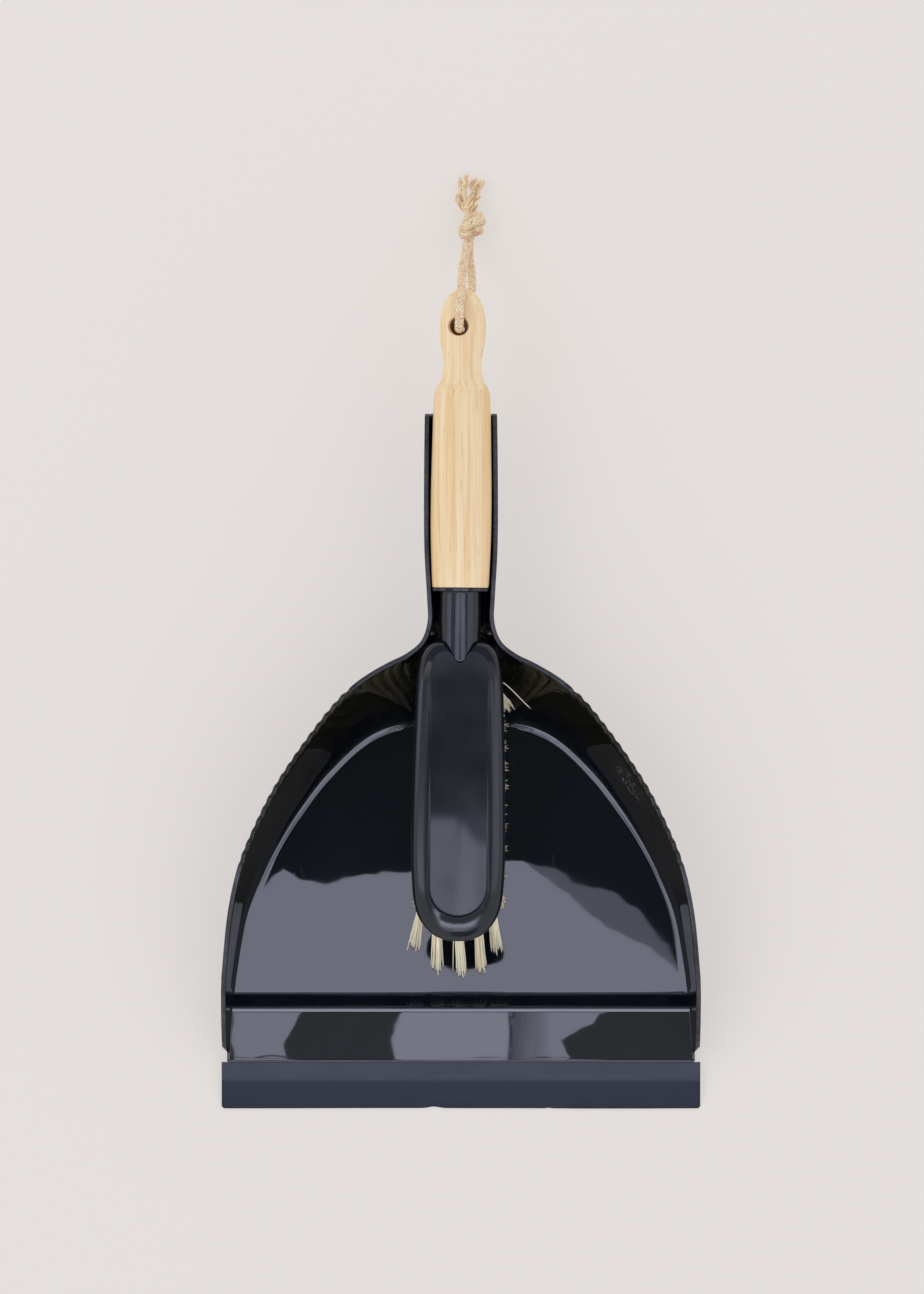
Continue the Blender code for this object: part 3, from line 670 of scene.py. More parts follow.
# The panels seen in the pan's floor and in its ramp: name, outline of the reflection, strength
FLOOR_PANELS = (
    ("softbox_front", (
        (-118, -188), (118, -188), (118, -142), (96, -123), (68, -107), (43, -87), (36, -82), (28, -78),
        (20, -79), (10, -82), (-24, -83), (-51, -84.5), (-64, -87.5), (-77, -85.5), (-86, -81.5), (-92, -86),
        (-96, -90), (-118, -92),
    ), 3.7),
    ("softbox_front_dim", (
        (28, -78), (36, -82), (43, -87), (68, -107), (96, -123), (118, -142), (118, -138), (106, -131),
        (95, -114), (83, -99), (73, -93), (54, -88), (46, -82),
    ), 1.7),
    ("softbox_far", ((-130, -340), (130, -340), (130, -190), (-130, -190)), 6.0),
)
RAMP_PANELS = (
    ("ramp_box_left", ((-110, -180), (-82, -180), (-84, -163), (-76, -140), (-110, -140)), 3.8),
    ("ramp_box_middle", ((-32, -180), (21, -180), (23, -165), (22, -140), (-26, -140), (-34, -160)), 4.4),
    ("ramp_box_right", (
        (43, -180), (58, -180), (50, -168), (48, -162), (64, -152), (72, -140), (43, -140),
    ), 3.8),
)
RAMP_FOOT_PANELS = (
    ("ramp_foot_flag", ((-112, -170.2), (110, -170.8), (110, -171.6), (-112, -171.4)), 0.3),
    ("ramp_foot_box", ((-110, -190), (104, -190), (104, -171.6), (-110, -171.4)), 3.6),
)
# The shaded stretch of the ramp, made of strips that brighten to the right
SHADE_FROM, SHADE_STEP, SHADES = 25, 3, 6
# The dark oval between the front bristles, and the crescent-shaped flag over the head's round nose
OVAL_AT, OVAL_WIDE, OVAL_DEEP = (2, -119), 19, 11.5
NOSE_AT = (-1.5, -89.7)
NOSE_ARCS = ((16.0, (-0.7, -0.4, -0.1, 0.2, 0.5, 0.8, 1.0)), (25.0, (0.8, 0.5, 0.2, -0.1, -0.35, -0.55)))
NOSE_FLAG_Z = 77.0
# Panels and flags that hang level with SOFTBOX_Z: x and y they reach from and to, and strength
SIDE_PANELS = (
    ("neck_box_centre", (-262, 262, 40, 66), 3.4),
    ("neck_box_tip_left", (-262, -36, 8, 39), 3.4),
    ("neck_box_tip_right", (36, 262, 8, 39), 3.4),
    ("neck_flag_left", (-690, -263, 8, 66), 0.35),
    ("neck_box_left", (-2400, -691, 0, 80), 2.5),
    ("neck_flag_right", (263, 480, 8, 66), 0.45),
    ("neck_box_right", (481, 2400, 0, 80), 1.7),
    ("head_flag_rear", (-1000, 1000, 130, 1300), 0.30),
    ("head_flag_left", (-720, -270, -44, 6), 0.7),
    ("head_box_left", (-720, -270, -130, -62), 2.6),
    ("head_box_right", (270, 720, -130, 6), 1.7),
    ("head_flag_front", (-60, 260, -1100, -450), 0.25),
)


def make_lights():
    """The panels that the glossy plastic reflects, and one soft key light."""
    for name, outline, strength in FLOOR_PANELS:
        softbox(name, from_floor(*outline), strength)
    (x, y), turns = OVAL_AT, [k / 5 for k in range(31)]
    oval = [(x + OVAL_WIDE * cos(a), y + OVAL_DEEP * sin(a)) for a in turns]
    softbox("softbox_flag", from_floor(*oval), 0.0, FLAG_Z)
    for name, outline, strength in RAMP_PANELS:
        softbox(name, from_ramp(*outline), strength)
    for k in range(SHADES):
        x = SHADE_FROM + SHADE_STEP * k
        strip = from_ramp((x, -180), (x + SHADE_STEP, -180), (x + SHADE_STEP, -140), (x, -140))
        softbox(f"ramp_box_shade_{k}", strip, 1.5 + 0.36 * k)
    for name, outline, strength in RAMP_FOOT_PANELS:
        softbox(name, from_ramp(*outline, z=FLAG_Z), strength, FLAG_Z)
    x, y = NOSE_AT
    nose = [(x + r * sin(a), y - r * cos(a)) for r, turns in NOSE_ARCS for a in turns]
    softbox("head_nose_flag", nose, 0.5, NOSE_FLAG_Z)
    for name, (x_low, x_high, y_low, y_high), strength in SIDE_PANELS:
        softbox(name, [(x_low, y_low), (x_high, y_low), (x_high, y_high), (x_low, y_high)], strength)
    key = bpy.data.lights.new("key", "AREA")
    key.shape = "DISK"
    key.size = KEY_SIZE
    key.energy = KEY_WATTS
    lamp = bpy.data.objects.new("key", key)
    lamp.location = KEY_AT
    lamp.rotation_euler = (-lamp.location).to_track_quat("-Z", "Y").to_euler()
    lamp.visible_camera = False
    bpy.context.scene.collection.objects.link(lamp)


# ---- dustpan


def floor_line(y):
    """The height of the pan's floor, dam and front ramp."""
    if y > FLAT_END_Y:
        return FLOOR_TOP
    if y > CREST_Y[0]:
        return FLOOR_TOP + (CREST_TOP - FLOOR_TOP) * (FLAT_END_Y - y) / (FLAT_END_Y - CREST_Y[0])
    if y > CREST_Y[1]:
        return CREST_TOP
    return CREST_TOP + (RAMP_END_TOP - CREST_TOP) * (CREST_Y[1] - y) / (CREST_Y[1] - RAMP_END_Y)


def floor_top(y):
    """The same line with its corners rounded over."""
    offsets = (-0.6, -0.3, 0.0, 0.3, 0.6)
    return sum(floor_line(max(y + d, RAMP_END_Y)) for d in offsets) / len(offsets)


def rim_places(step):
    """Places along the ribs, step mm apart on the rim between the first and last comb tooth."""
    fine = [TEETH_FROM + i * (TEETH_TO - TEETH_FROM) / 400 for i in range(401)]
    run, along = 0.0, [0.0]
    for a, b in zip(fine, fine[1:]):
        run += (Vector(spline(RIBS, b)[:3]) - Vector(spline(RIBS, a)[:3])).length
        along.append(run)
    teeth = round(run / TOOTH_PITCH)
    count = round(teeth * TOOTH_PITCH / step)
    places, k = [], 0
    for i in range(count + 1):
        goal = run * i / count
        while k < len(along) - 2 and along[k + 1] < goal:
            k += 1
        share = (goal - along[k]) / (along[k + 1] - along[k])
        places.append((fine[k] + share * (fine[k + 1] - fine[k]), teeth * i / count))
    return places


def tooth_gap(tooth):
    """How far the rim dips between comb teeth, whose tops are rounder than the gaps."""
    wave = (1 - cos(2 * pi * tooth)) / 2
    return TOOTH_DEPTH * wave**TOOTH_POWER


def pan_cuts():
    """Each cut through half the pan: (rim, foot, roundness, depth of the tooth gap)."""
    cuts = [(spline(RIBS, i / 8), 0.0) for i in range(int(TEETH_FROM * 8))]
    for at, tooth in rim_places(TOOTH_PITCH / 12):
        cuts.append((spline(RIBS, at), tooth_gap(tooth)))
    cuts += [(spline(RIBS, TEETH_TO + i / 8), 0.0) for i in range(1, 17)]
    cuts = [(Vector(v[:3]), Vector(v[3:6]), v[6], gap) for v, gap in cuts]
    for a, b in zip(MOUTH, MOUTH[1:]):
        steps = max(2, int(abs(a[0] - b[0]) / MOUTH_STEP))
        for i in range(steps):
            y, x, z, foot = (p + (q - p) * i / steps for p, q in zip(a, b))
            cuts.append((Vector((x, y, z)), Vector((foot, y, floor_top(y))), 0.0, 0.0))
    y, x, z, foot = MOUTH[-1]
    cuts.append((Vector((x, y, z)), Vector((foot, y, floor_top(y))), 0.0, 0.0))
    return cuts


def wall_shape(s, roundness):
    """How far out and how far up a wall is at s, from 0 at its foot to 1 at its rim."""
    slope_up = (sqrt(s * s + FILLET**2) - FILLET) / (sqrt(1 + FILLET**2) - FILLET)
    angle = s * pi / 2
    out = roundness * sin(angle) ** (2 / TROUGH_POWER) + (1 - roundness) * s
    up = roundness * (1 - max(cos(angle), 0.0) ** (2 / TROUGH_POWER)) + (1 - roundness) * slope_up
    return out, up


def wall_point(rim, foot, roundness, s):
    """The point of a wall at s."""
    out, up = wall_shape(s, roundness)
    back = out ** (1 + min(1.0, 2 * roundness))
    return Vector((
        foot.x + (rim.x - foot.x) * out,
        foot.y + (rim.y - foot.y) * back,
        foot.z + (rim.z - foot.z) * up,
    ))


def pan_row(rim, foot, roundness, gap):
    """Half a cut's upper surface, from the centre line to where the rim starts to round over."""
    long = max((rim - foot).length, 1.0)
    centre = Vector((0, foot.y, foot.z))
    row = [centre.lerp(foot, 1 - (1 - i / FLOOR_COLUMNS) ** 2) for i in range(FLOOR_COLUMNS)]
    top = 1 - (gap + RIM_R) / long
    for i in range(WALL_COLUMNS + 1):
        row.append(wall_point(rim, foot, roundness, top * (i / WALL_COLUMNS) ** 1.5))
    return row


def cove_width(y):
    """How wide the floor's cove along the wall's foot is: broad round the arch, narrow at the sides."""
    return (1.3 + 1.9 * smoothstep(-90.0, -30.0, y)) * smoothstep(FLAT_END_Y, FLAT_END_Y + 4, y)


def raise_cove(rows):
    """Lifts the floor into a shallow cove along the foot of the wall, and the wall with it."""
    feet = [row[FLOOR_COLUMNS] for row in rows if row[0].z < FLOOR_TOP + 0.01]
    feet = np.array([(p.x, p.y) for p in feet if p.y > FLAT_END_Y])
    for row in rows:
        if row[0].z > FLOOR_TOP + 0.01 or row[0].y < FLAT_END_Y:
            continue
        width = cove_width(row[0].y)
        if width < 0.05:
            continue
        for p in row[:FLOOR_COLUMNS]:
            near = sqrt(((feet - (p.x, p.y)) ** 2).sum(axis=1).min())
            p.z += COVE_SLOPE * max(0.0, width - near) ** 2 / (2 * width)
        for p in row[FLOOR_COLUMNS:]:
            p.z += COVE_SLOPE * width / 2 * (1 - smoothstep(0, 30, p.z - FLOOR_TOP))


def pan_sections():
    """Each cut's closed half section: upper surface outwards, round the rim, lower surface back."""
    cuts = pan_cuts()
    upper = [pan_row(*cut) for cut in cuts]
    smooth = [pan_row(rim, foot, roundness, 0.0) for rim, foot, roundness, _ in cuts]
    raise_cove(upper)
    raise_cove(smooth)
    sections = []
    for i, row in enumerate(upper):
        before, after = smooth[max(i - 1, 0)], smooth[min(i + 1, len(smooth) - 1)]
        lower, out = [], Vector((0, 0, -1))
        for j, p in enumerate(row):
            along = after[j] - before[j]
            across = smooth[i][min(j + 1, len(row) - 1)] - smooth[i][max(j - 1, 0)]
            out = across.cross(along).normalized()
            if j <= FLOOR_COLUMNS and p.z <= CREST_TOP + 0.1:
                out = Vector((0, 0, -1))
            if j == 0:
                out = Vector((0, out.y, out.z)).normalized()
            below = p + out * SHEET
            below.z = max(below.z, 0.0)
            lower.append(below)
        up = (row[-1] - row[-2]).normalized()
        inner, outer = row[-1] + out * RIM_R, row[-1] + out * (SHEET - RIM_R)
        turn = []
        for centre, angles in ((inner, (150, 120, 90)), (outer, (90, 60, 30))):
            for angle in angles:
                a = radians(angle)
                point = centre + (out * cos(a) + up * sin(a)) * RIM_R
                point.z = max(point.z, 0.0)
                turn.append(point)
        sections.append((row, turn, lower))
    return sections


def mirrored(points):
    """The same points on the other side of the centre line."""
    return [Vector((-p.x, p.y, p.z)) for p in points]


def make_pan(material):
    """The pan's moulding, with the share of satin and painted sheen on its rim stored on its points."""
    rings = []
    for row, turn, lower in pan_sections():
        half = row[1:] + turn + lower[:0:-1]
        rings.append([row[0]] + half + [lower[0]] + mirrored(half)[::-1])
    sides = len(rings[0])
    points = [p for ring in rings for p in ring]
    faces = ring_faces(len(rings), sides)
    columns, turns = FLOOR_COLUMNS + WALL_COLUMNS, RIM_COLUMNS
    under = 2 * columns + turns + 1
    for start in (0, (len(rings) - 1) * sides):
        for side in (1, -1):
            for j in range(columns):
                quad = [j, j + 1, under - j - 1, under - j]
                faces.append(tuple(start + (side * k) % sides for k in quad))
            rim = range(columns, columns + turns + 2)
            faces.append(tuple(start + (side * k) % sides for k in rim))
    pan = add_mesh("pan_shell", points, faces, material)
    rim = []
    for ring in rings:
        y = ring[columns + 2].y
        # each rim point's share of satin and painted sheen
        share = 1 - RIM_LESS_SHEEN * smoothstep(*RIM_LESS_SHEEN_Y[0], y) * smoothstep(*RIM_LESS_SHEEN_Y[1], y)
        rim += [share if columns < min(j, sides - j) <= columns + turns else 0.0 for j in range(sides)]
    set_values(pan, "rim", rim)
    return place(pan, "dustpan", "pan_plastic", "dustpan_body")


def make_pips(material):
    """The two small bumps inside the trough's neck that the brush's neck snaps past."""
    x, y, z = PIP_AT
    for side, name in ((-1, "pan_pip_left"), (1, "pan_pip_right")):
        stops = []
        for k in range(9):
            angle = pi / 2 * k / 8
            centre = Vector((side * (x + 1.4 - PIP_LONG * sin(angle)), y, z))
            stops.append((centre, max(PIP_R * cos(angle), 0.05)))
        place(add_mesh(name, *tube_of_rings(round_rings(stops, 20)), material), "dustpan", "pan_plastic")


def make_lip(material):
    """The rubber strip: its section drawn across the mouth, with a wavy edge rubbed by wear, a nick and
    flash.
    """
    dice = random.Random(SEED)
    waves = [(dice.uniform(0.01, 0.12), dice.uniform(0, 6.3), dice.uniform(0.02, 0.07)) for _ in range(8)]
    rings = []
    xs = [-LIP_HALF, -LIP_HALF + 0.25, -LIP_HALF + 0.7]
    step = 2 * (LIP_HALF - LIP_END) / LIP_STEPS
    xs += [-LIP_HALF + LIP_END + i * step for i in range(LIP_STEPS + 1)]
    xs += [LIP_HALF - 0.7, LIP_HALF - 0.25, LIP_HALF]
    for x in xs:
        end = max(0.0, 1 - (LIP_HALF - abs(x)) / LIP_END)
        wear = sum(size * sin(rate * x + start) for rate, start, size in waves)
        nick = sum(deep * exp(-((x - at) / wide) ** 2) for at, wide, deep in LIP_NICKS)
        flash = LIP_FLASH_HIGH * exp(-((x - LIP_HALF) / LIP_FLASH_WIDE) ** 2)
        ring = []
        for y, z in LIP_SECTION:
            front = smoothstep(-190, -196, y)
            rear = smoothstep(-177, -174.5, y) if z > 2 else 0.0
            tucked = y > -173.0 or (y, z) == (-173.6, 1.0)
            place_x = x * LIP_TUCK_HALF / LIP_HALF if tucked else x
            place_y = y + front * (nick + 0.12 + wear + 1.1 * end * end)
            place_z = z + rear * flash - (0.25 * end * end if z > 0.8 and not tucked else 0.0)
            ring.append(Vector((place_x, max(place_y, LIP_FRONT_Y), place_z)))
        rings.append(ring)
    lip = add_mesh("lip_strip", *tube_of_rings(rings), material)
    return place(lip, "dustpan", "lip_rubber", "rubber_lip")


# ---- brush


def make_handle(material):
    """The wooden handle, drilled across for the cord and along for the head's tang."""
    rings = []
    for i in range(4 * (len(HANDLE_CUTS) - 1) + 1):
        y, width, thick = spline(HANDLE_CUTS, i / 4)
        step = 0.22 * smoothstep(150.0, 150.9, y) * smoothstep(156.0, 151.2, y)
        rings.append(oval_ring(y, width - step, thick - step, 88, 2.35))
    handle = add_mesh("handle_grip", *tube_of_rings(rings), material)
    x, y = HOLE_AT
    profile = ((-14.0, 9.0), (-7.6, 5.5), (-6.5, HOLE_R), (6.5, HOLE_R), (7.6, 5.5), (14.0, 9.0))
    hole = round_rings([(Vector((x, y, AXIS_Z + dz)), r) for dz, r in profile], HOLE_SIDES)
    bore = round_rings([((0, 50, AXIS_Z), BORE_R), ((0, BORE_TO_Y, AXIS_Z), BORE_R)], 32)
    combine(handle, add_mesh("hole_cutter", *tube_of_rings(hole)), "DIFFERENCE")
    combine(handle, add_mesh("bore_cutter", *tube_of_rings(bore)), "DIFFERENCE")
    place(turned(handle), "brush", "handle_wood", "wooden_handle")
    make_hole_shoulder(material)


def make_hole_shoulder(material):
    """The brown shoulder low in the cord hole, close round the cord: a dark piece that shuts the view through
    the hole and stands in for the shade inside it.
    """
    level = (Vector((1, 0, 0)), Vector((0, 1, 0)))
    points = []
    for centre, r, z in (
        (SHOULDER_AT, SHOULDER_R, 41.6), (HOLE_AT, HOLE_R + 0.2, 41.2), (HOLE_AT, HOLE_R + 0.2, 43.8),
        (SHOULDER_AT, SHOULDER_R, 43.2),
    ):
        points += ring_about(Vector((*centre, z)), level, r, HOLE_SIDES)
    # the last of the four rings joins up with the first
    last = 3 * HOLE_SIDES
    turn = [(j, (j + 1) % HOLE_SIDES) for j in range(HOLE_SIDES)]
    closing = [(last + j, last + k, k, j) for j, k in turn]
    shoulder = add_mesh("hole_shoulder", points, ring_faces(4, HOLE_SIDES) + closing, material)
    place(turned(shoulder), "brush", "handle_wood")


def panel_dip(x, y):
    """How far the head's top is sunk at (x, y): a long shallow panel with a round front."""
    middle = PANEL_FRONT_Y + PANEL_HALF
    reach = hypot(x, y - middle) if y < middle else abs(x)
    inside = smoothstep(PANEL_HALF + PANEL_EDGE, PANEL_HALF - PANEL_EDGE, reach)
    depth = PANEL_DEPTH * (0.25 + 0.75 * smoothstep(-20.0, -75.0, y)) * smoothstep(PANEL_REAR_Y, 0.0, y)
    bend = PANEL_BEND_Y - 13 * smoothstep(-2.0, 12.0, x)
    slope = PANEL_SLOPE * max(0.0, bend - y) * smoothstep(bend, bend - 5, y)
    return (depth + slope) * inside


# Rings of the head from its underside up its rounded side and in over its top edge, as (height, inset)
HEAD_SIDE = (
    (HEAD_BOTTOM, 1.2), (HEAD_BOTTOM + 0.15, 0.6), (HEAD_BOTTOM + 0.55, 0.17), (HEAD_BOTTOM + 1.2, 0.0),
    (46.0, 0.0), (49.6, 0.0), (50.8, 0.06), (51.9, 0.25), (52.9, 0.6), (53.8, 1.15), (54.6, 1.9), (55.2, 2.8),
    (55.65, 3.8), (55.95, 4.8), (56.15, 5.7),
)


def head_rings():
    """The head's rings, each drawn in from the outline towards the spine under its top."""
    half = [spline(HEAD_OUTLINE, i / 10) for i in range(10 * (len(HEAD_OUTLINE) - 1) + 1)]
    outline = half + [(-x, y) for x, y in half[-2:0:-1]]
    front, rear = PANEL_FRONT_Y + PANEL_HALF, 11.5
    spokes = []
    for x, y in outline:
        spine = Vector((0.0, min(max(y, front), rear)))
        spokes.append((spine, Vector((x, y)) - spine))
    rings = []
    top_inset = HEAD_SIDE[-1][1]
    for height, inset in HEAD_SIDE:
        ring = []
        for spine, out in spokes:
            band = max(out.length - PANEL_HALF - PANEL_EDGE * 1.6, 0.5)
            reach = inset * max(1.0, 1 + (band / top_inset - 1) * min(1.0, inset / 3.0))
            ring.append(Vector((*(spine + out * (1 - reach / out.length)), height)))
        rings.append(ring)
    over_edge = (1.4, 1.0, 0.75, 0.5, 0.25, 0.0, -0.25, -0.5, -0.75, -1.0, -1.4)
    reaches = [PANEL_HALF + PANEL_EDGE * k for k in over_edge]
    for reach in reaches + [PANEL_HALF * k for k in (0.86, 0.72, 0.58, 0.44, 0.3, 0.16, 0.02)]:
        ring = []
        for spine, out in spokes:
            x, y = spine + out.normalized() * min(reach, out.length - 6.0)
            ring.append(Vector((x, y, HEAD_TOP - 0.1 - panel_dip(x, y))))
        rings.append(ring)
    return rings


def make_brush_head(material):
    """The head's moulding: its block, notched for the round neck that runs on into the collar and tang."""
    head = add_mesh("brush_block", *tube_of_rings(head_rings()), material)
    notch = [[Vector((x, y, z)) for x, y in NOTCH] for z in (NOTCH_BOTTOM, HEAD_TOP + 3)]
    combine(head, add_mesh("notch_cutter", *tube_of_rings(notch)), "DIFFERENCE")
    neck = [oval_ring(*ring) for ring in NECK_RINGS]
    combine(head, add_mesh("neck_shape", *tube_of_rings(neck)), "UNION")
    return head


def tuft_line(name):
    """A tuft's root, deep in its hole, and its tip, read from its plain solid and turned back square."""
    back = brush_turn().inverted()
    corners = {tuple(round(c, 6) for c in v.co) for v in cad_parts[name].data.vertices}
    low_first = sorted((back @ Vector(c) / MM for c in corners), key=lambda p: p.z)
    return [sum(eight, Vector()) / 8 for eight in (low_first[-8:], low_first[:8])]


def bristle_lines(root, tip, dice, pan_tree, tuck, loose=1.0):
    """The bent line of each bristle of a tuft, none of which goes through the pan."""
    turn = brush_turn()
    direction = (tip - root).normalized()
    side = direction.cross(Vector((0, 1, 0))).normalized()
    other = direction.cross(side)
    lean = hypot(direction.x, direction.y)
    long = (tip - root).length
    lines = []
    for k in range(BRISTLES):
        r = sqrt((k + 0.5) / BRISTLES)
        a = k * 2.39996 + dice.uniform(-0.3, 0.3)
        spread = side * cos(a) * r + other * sin(a) * r
        start = root + spread * (TUFT_R - BRISTLE_R)
        flare = TUFT_TIP_R * dice.uniform(0.55, 1.12) * loose
        end = tip + spread * flare + Vector((dice.gauss(0, 0.35), dice.gauss(0, 0.5), 0)) * (1 + 2 * lean)
        end += direction * (dice.uniform(-1.8, 0.4) - 0.6 * long / 40)
        if dice.random() < 0.03:
            end += Vector((dice.uniform(-2.5, 2.5), dice.uniform(-2.5, 2.5), 1.0))
        if tuck:
            end.x = min(max(end.x, -21.6), dice.choice((21.5, 22.5, 24.0)))
        mouth = start + direction * (TUFT_SET + 1.5)
        bow = Vector((dice.gauss(0, 0.4), dice.gauss(0, 0.4), 0))
        bend = mouth.lerp(end, 0.45) + bow
        shares = [i / BRISTLE_STEPS for i in range(BRISTLE_STEPS + 1)]
        line = [start * (1 - t) ** 2 + bend * 2 * t * (1 - t) + end * t * t for t in shares]
        lines.append((stopped_at_pan(line, turn, pan_tree), dice.random()))
    return lines


def stopped_at_pan(line, turn, pan_tree):
    """The line cut short just above the first place where it would go into the pan."""
    for i in range(1, len(line)):
        a, b = turn @ (line[i - 1] * MM), turn @ (line[i] * MM)
        step = b - a
        hit = pan_tree.ray_cast(a, step.normalized(), step.length + OVER_PAN * MM)
        if hit[0]:
            share = max((hit[3] - OVER_PAN * MM) / step.length, 0.05)
            kept = [tuple(p) for p in line[:i] + [line[i - 1].lerp(line[i], min(share, 1.0))]]
            count = len(line) - 1
            return [Vector(spline(kept, i * k / count)) for k in range(count + 1)]
    return line


def make_tuft(name, material, pan_tree, dice):
    """A tuft's bristles, each point knowing how far along its bristle it is and which bristle's."""
    root, tip = tuft_line(name)
    if name == SPLAYED_TUFT:
        lines = bristle_lines(root, Vector(SPLAYED_TIP), dice, pan_tree, False, SPLAYED_FLARE)
        lines.append(([Vector(p) for p in STRAY_BRISTLE], 1.0))
    else:
        lines = bristle_lines(root, tip, dice, pan_tree, name[5:7].isdigit())
    points, faces, along, own = [], [], [], []
    for line, tint in lines:
        direction = (line[-1] - line[0]).normalized()
        side = direction.cross(Vector((0, 1, 0))).normalized()
        across = (side, direction.cross(side))
        faces += capped_faces(len(line), BRISTLE_SIDES, len(points))
        for i, p in enumerate(line):
            share = i / (len(line) - 1)
            points += ring_about(p, across, BRISTLE_R * (1 - 0.35 * share**3), BRISTLE_SIDES, tint * 6)
            along += [share] * BRISTLE_SIDES
            own += [tint] * BRISTLE_SIDES
    tuft = add_mesh("bristles" + name[4:], points, faces, material, 60)
    set_values(tuft, "along", along)
    set_values(tuft, "own", own)
    return place(turned(tuft), "brush", "bristle", name)


def make_brush(plastic, ivory, wood, pan):
    """The head with a hole for each tuft, the tufts and the handle."""
    head = make_brush_head(plastic)
    names = sorted(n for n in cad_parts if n.startswith("tuft_"))
    holes = []
    for name in names:
        root, tip = tuft_line(name)
        lean = (tip - root).normalized()
        stops = [(root - lean * 0.3, TUFT_HOLE_R), (root + lean * (TUFT_SET + 4), TUFT_HOLE_R)]
        holes.append(tube_of_rings(round_rings(stops, 16)))
    combine(head, add_mesh("tuft_hole_cutter", *join_parts(holes)), "DIFFERENCE")
    place(turned(head), "brush", "head_plastic", "brush_head")
    tree = BVHTree.FromObject(pan, bpy.context.evaluated_depsgraph_get())
    dice = random.Random(SEED + 1)
    for name in names:
        make_tuft(name, ivory, tree, dice)
    make_handle(wood)


# ---- hanging cord


def fine_route(points, step):
    """A given route as points about step mm apart."""
    length = sum((Vector(a) - Vector(b)).length for a, b in zip(points, points[1:]))
    count = int(length / step)
    return [Vector(spline(points, (len(points) - 1) * i / count)) for i in range(count + 1)]


def frames(line):
    """For each point of a line, two directions across it that turn with it as little as they can."""
    found, side = [], None
    for i, _ in enumerate(line):
        along = (line[min(i + 1, len(line) - 1)] - line[max(i - 1, 0)]).normalized()
        if side is None:
            side = along.cross(Vector((0.3, 0.2, 0.9))).normalized()
        side = (side - along * side.dot(along)).normalized()
        found.append((side, along.cross(side)))
    return found


def braid_relief(angle, run, strands, pitch):
    """(height, tint) of the braid at a place on the cord: height from 0 in a groove to 1."""
    turn = angle / (2 * pi) * strands
    left, right = turn + run / pitch * strands, turn - run / pitch * strands
    found = []
    for phase, other, hand in ((left, right, 0), (right, left, 1)):
        over = (floor(phase) + floor(other) + hand) % 2 == 0
        dome = sin(pi * (phase % 1.0)) ** 0.7
        strand = floor(phase) % strands
        tint = (sin(12.9 * strand + 37.7 * hand + 5.1 * floor(other)) * 43.7) % 1.0
        found.append((dome * (1.0 if over else 0.35), tint))
    return max(found)


def braided_tube(line, radius, depth=0.5, strands=6, pitch=12.0, sides=48, start=0.0, round_ends=False):
    """(points, faces, grooves, strands) of a braided cord along a line."""
    points, grooves, tints = [], [], []
    run = start
    total = len(line) - 1
    for i, (p, (side, other)) in enumerate(zip(line, frames(line))):
        if i:
            run += (p - line[i - 1]).length
        close = min(i, total - i) / 5
        shrink = sqrt(1 - (1 - min(close, 1.0)) ** 2) * 0.6 + 0.4 if round_ends else 1.0
        for k in range(sides):
            angle = 2 * pi * k / sides
            high, tint = braid_relief(angle, run, strands, pitch)
            r = (radius - depth * (1 - high)) * shrink
            points.append(p + side * (cos(angle) * r) + other * (sin(angle) * r))
            # the groove share sets how much painted shade a point gets
            grooves.append(max(0.0, 1 - high * 1.5))
            tints.append(tint)
    return points, capped_faces(len(line), sides), grooves, tints


def add_yarn(name, parts, material):
    """An object of several (points, faces, grooves, strands) parts."""
    item = add_mesh(name, *join_parts([part[:2] for part in parts]), material, 75)
    set_values(item, "groove", [v for part in parts for v in part[2]])
    set_values(item, "strand", [v for part in parts for v in part[3]])
    return item


def fuzz(line, radius, count, dice, long=(1.0, 2.6), thick=0.035):
    """Loose fibres that stand off a cord."""
    parts = []
    across = frames(line)
    for _ in range(count):
        i = dice.randrange(2, len(line) - 3)
        side, other = across[i]
        angle = dice.uniform(0, 2 * pi)
        out = side * cos(angle) + other * sin(angle)
        along = (line[i + 1] - line[i]).normalized() * dice.choice((-1, 1))
        length = dice.uniform(*long)
        base = line[i] + out * (radius - 0.25)
        tip = base + out * (length * dice.uniform(0.15, 0.5)) + along * length
        bend = base + out * (length * dice.uniform(0.2, 0.5)) + along * (length * 0.4)
        hair = [base.lerp(bend, t).lerp(bend.lerp(tip, t), t) for t in (0, 0.25, 0.5, 0.75, 1.0)]
        parts.append(thin_tube(hair, thick, 3))
    return parts


def thin_tube(line, radius, sides, taper=0.6, tint=0.3):
    """(points, faces, grooves, strands) of a yarn or fibre along a line."""
    points = []
    for i, (p, across) in enumerate(zip(line, frames(line))):
        points += ring_about(p, across, radius * (1 - (1 - taper) * i / (len(line) - 1)), sides)
    return points, capped_faces(len(line), sides), [0.0] * len(points), [tint] * len(points)


# The knot: its wraps as (radius, closed line), and the two standing parts through it
KNOT_WRAPS = (
    (2.25, (
        (10.0, 228.9, 7.0), (9.2, 229.8, 10.0), (6.8, 229.0, 11.9), (4.0, 227.4, 12.2), (1.6, 225.9, 10.8),
        (0.5, 224.8, 7.6), (1.3, 224.4, 4.6), (4.0, 225.4, 3.1), (7.2, 227.4, 3.1), (9.4, 228.6, 5.0),
    )),
    (2.05, (
        (9.0, 224.6, 7.0), (8.3, 225.8, 9.4), (5.6, 224.6, 9.6), (2.5, 222.9, 9.4), (1.0, 222.4, 6.6),
        (2.6, 222.6, 3.8), (5.6, 223.4, 3.2), (8.4, 224.2, 4.6),
    )),
    (1.6, (
        (9.3, 231.3, 6.2), (8.3, 232.2, 8.8), (5.8, 231.5, 10.2), (3.2, 230.0, 9.8), (1.9, 228.8, 7.2),
        (2.6, 229.0, 4.6), (5.6, 230.2, 3.6), (8.3, 231.0, 4.4),
    )),
)
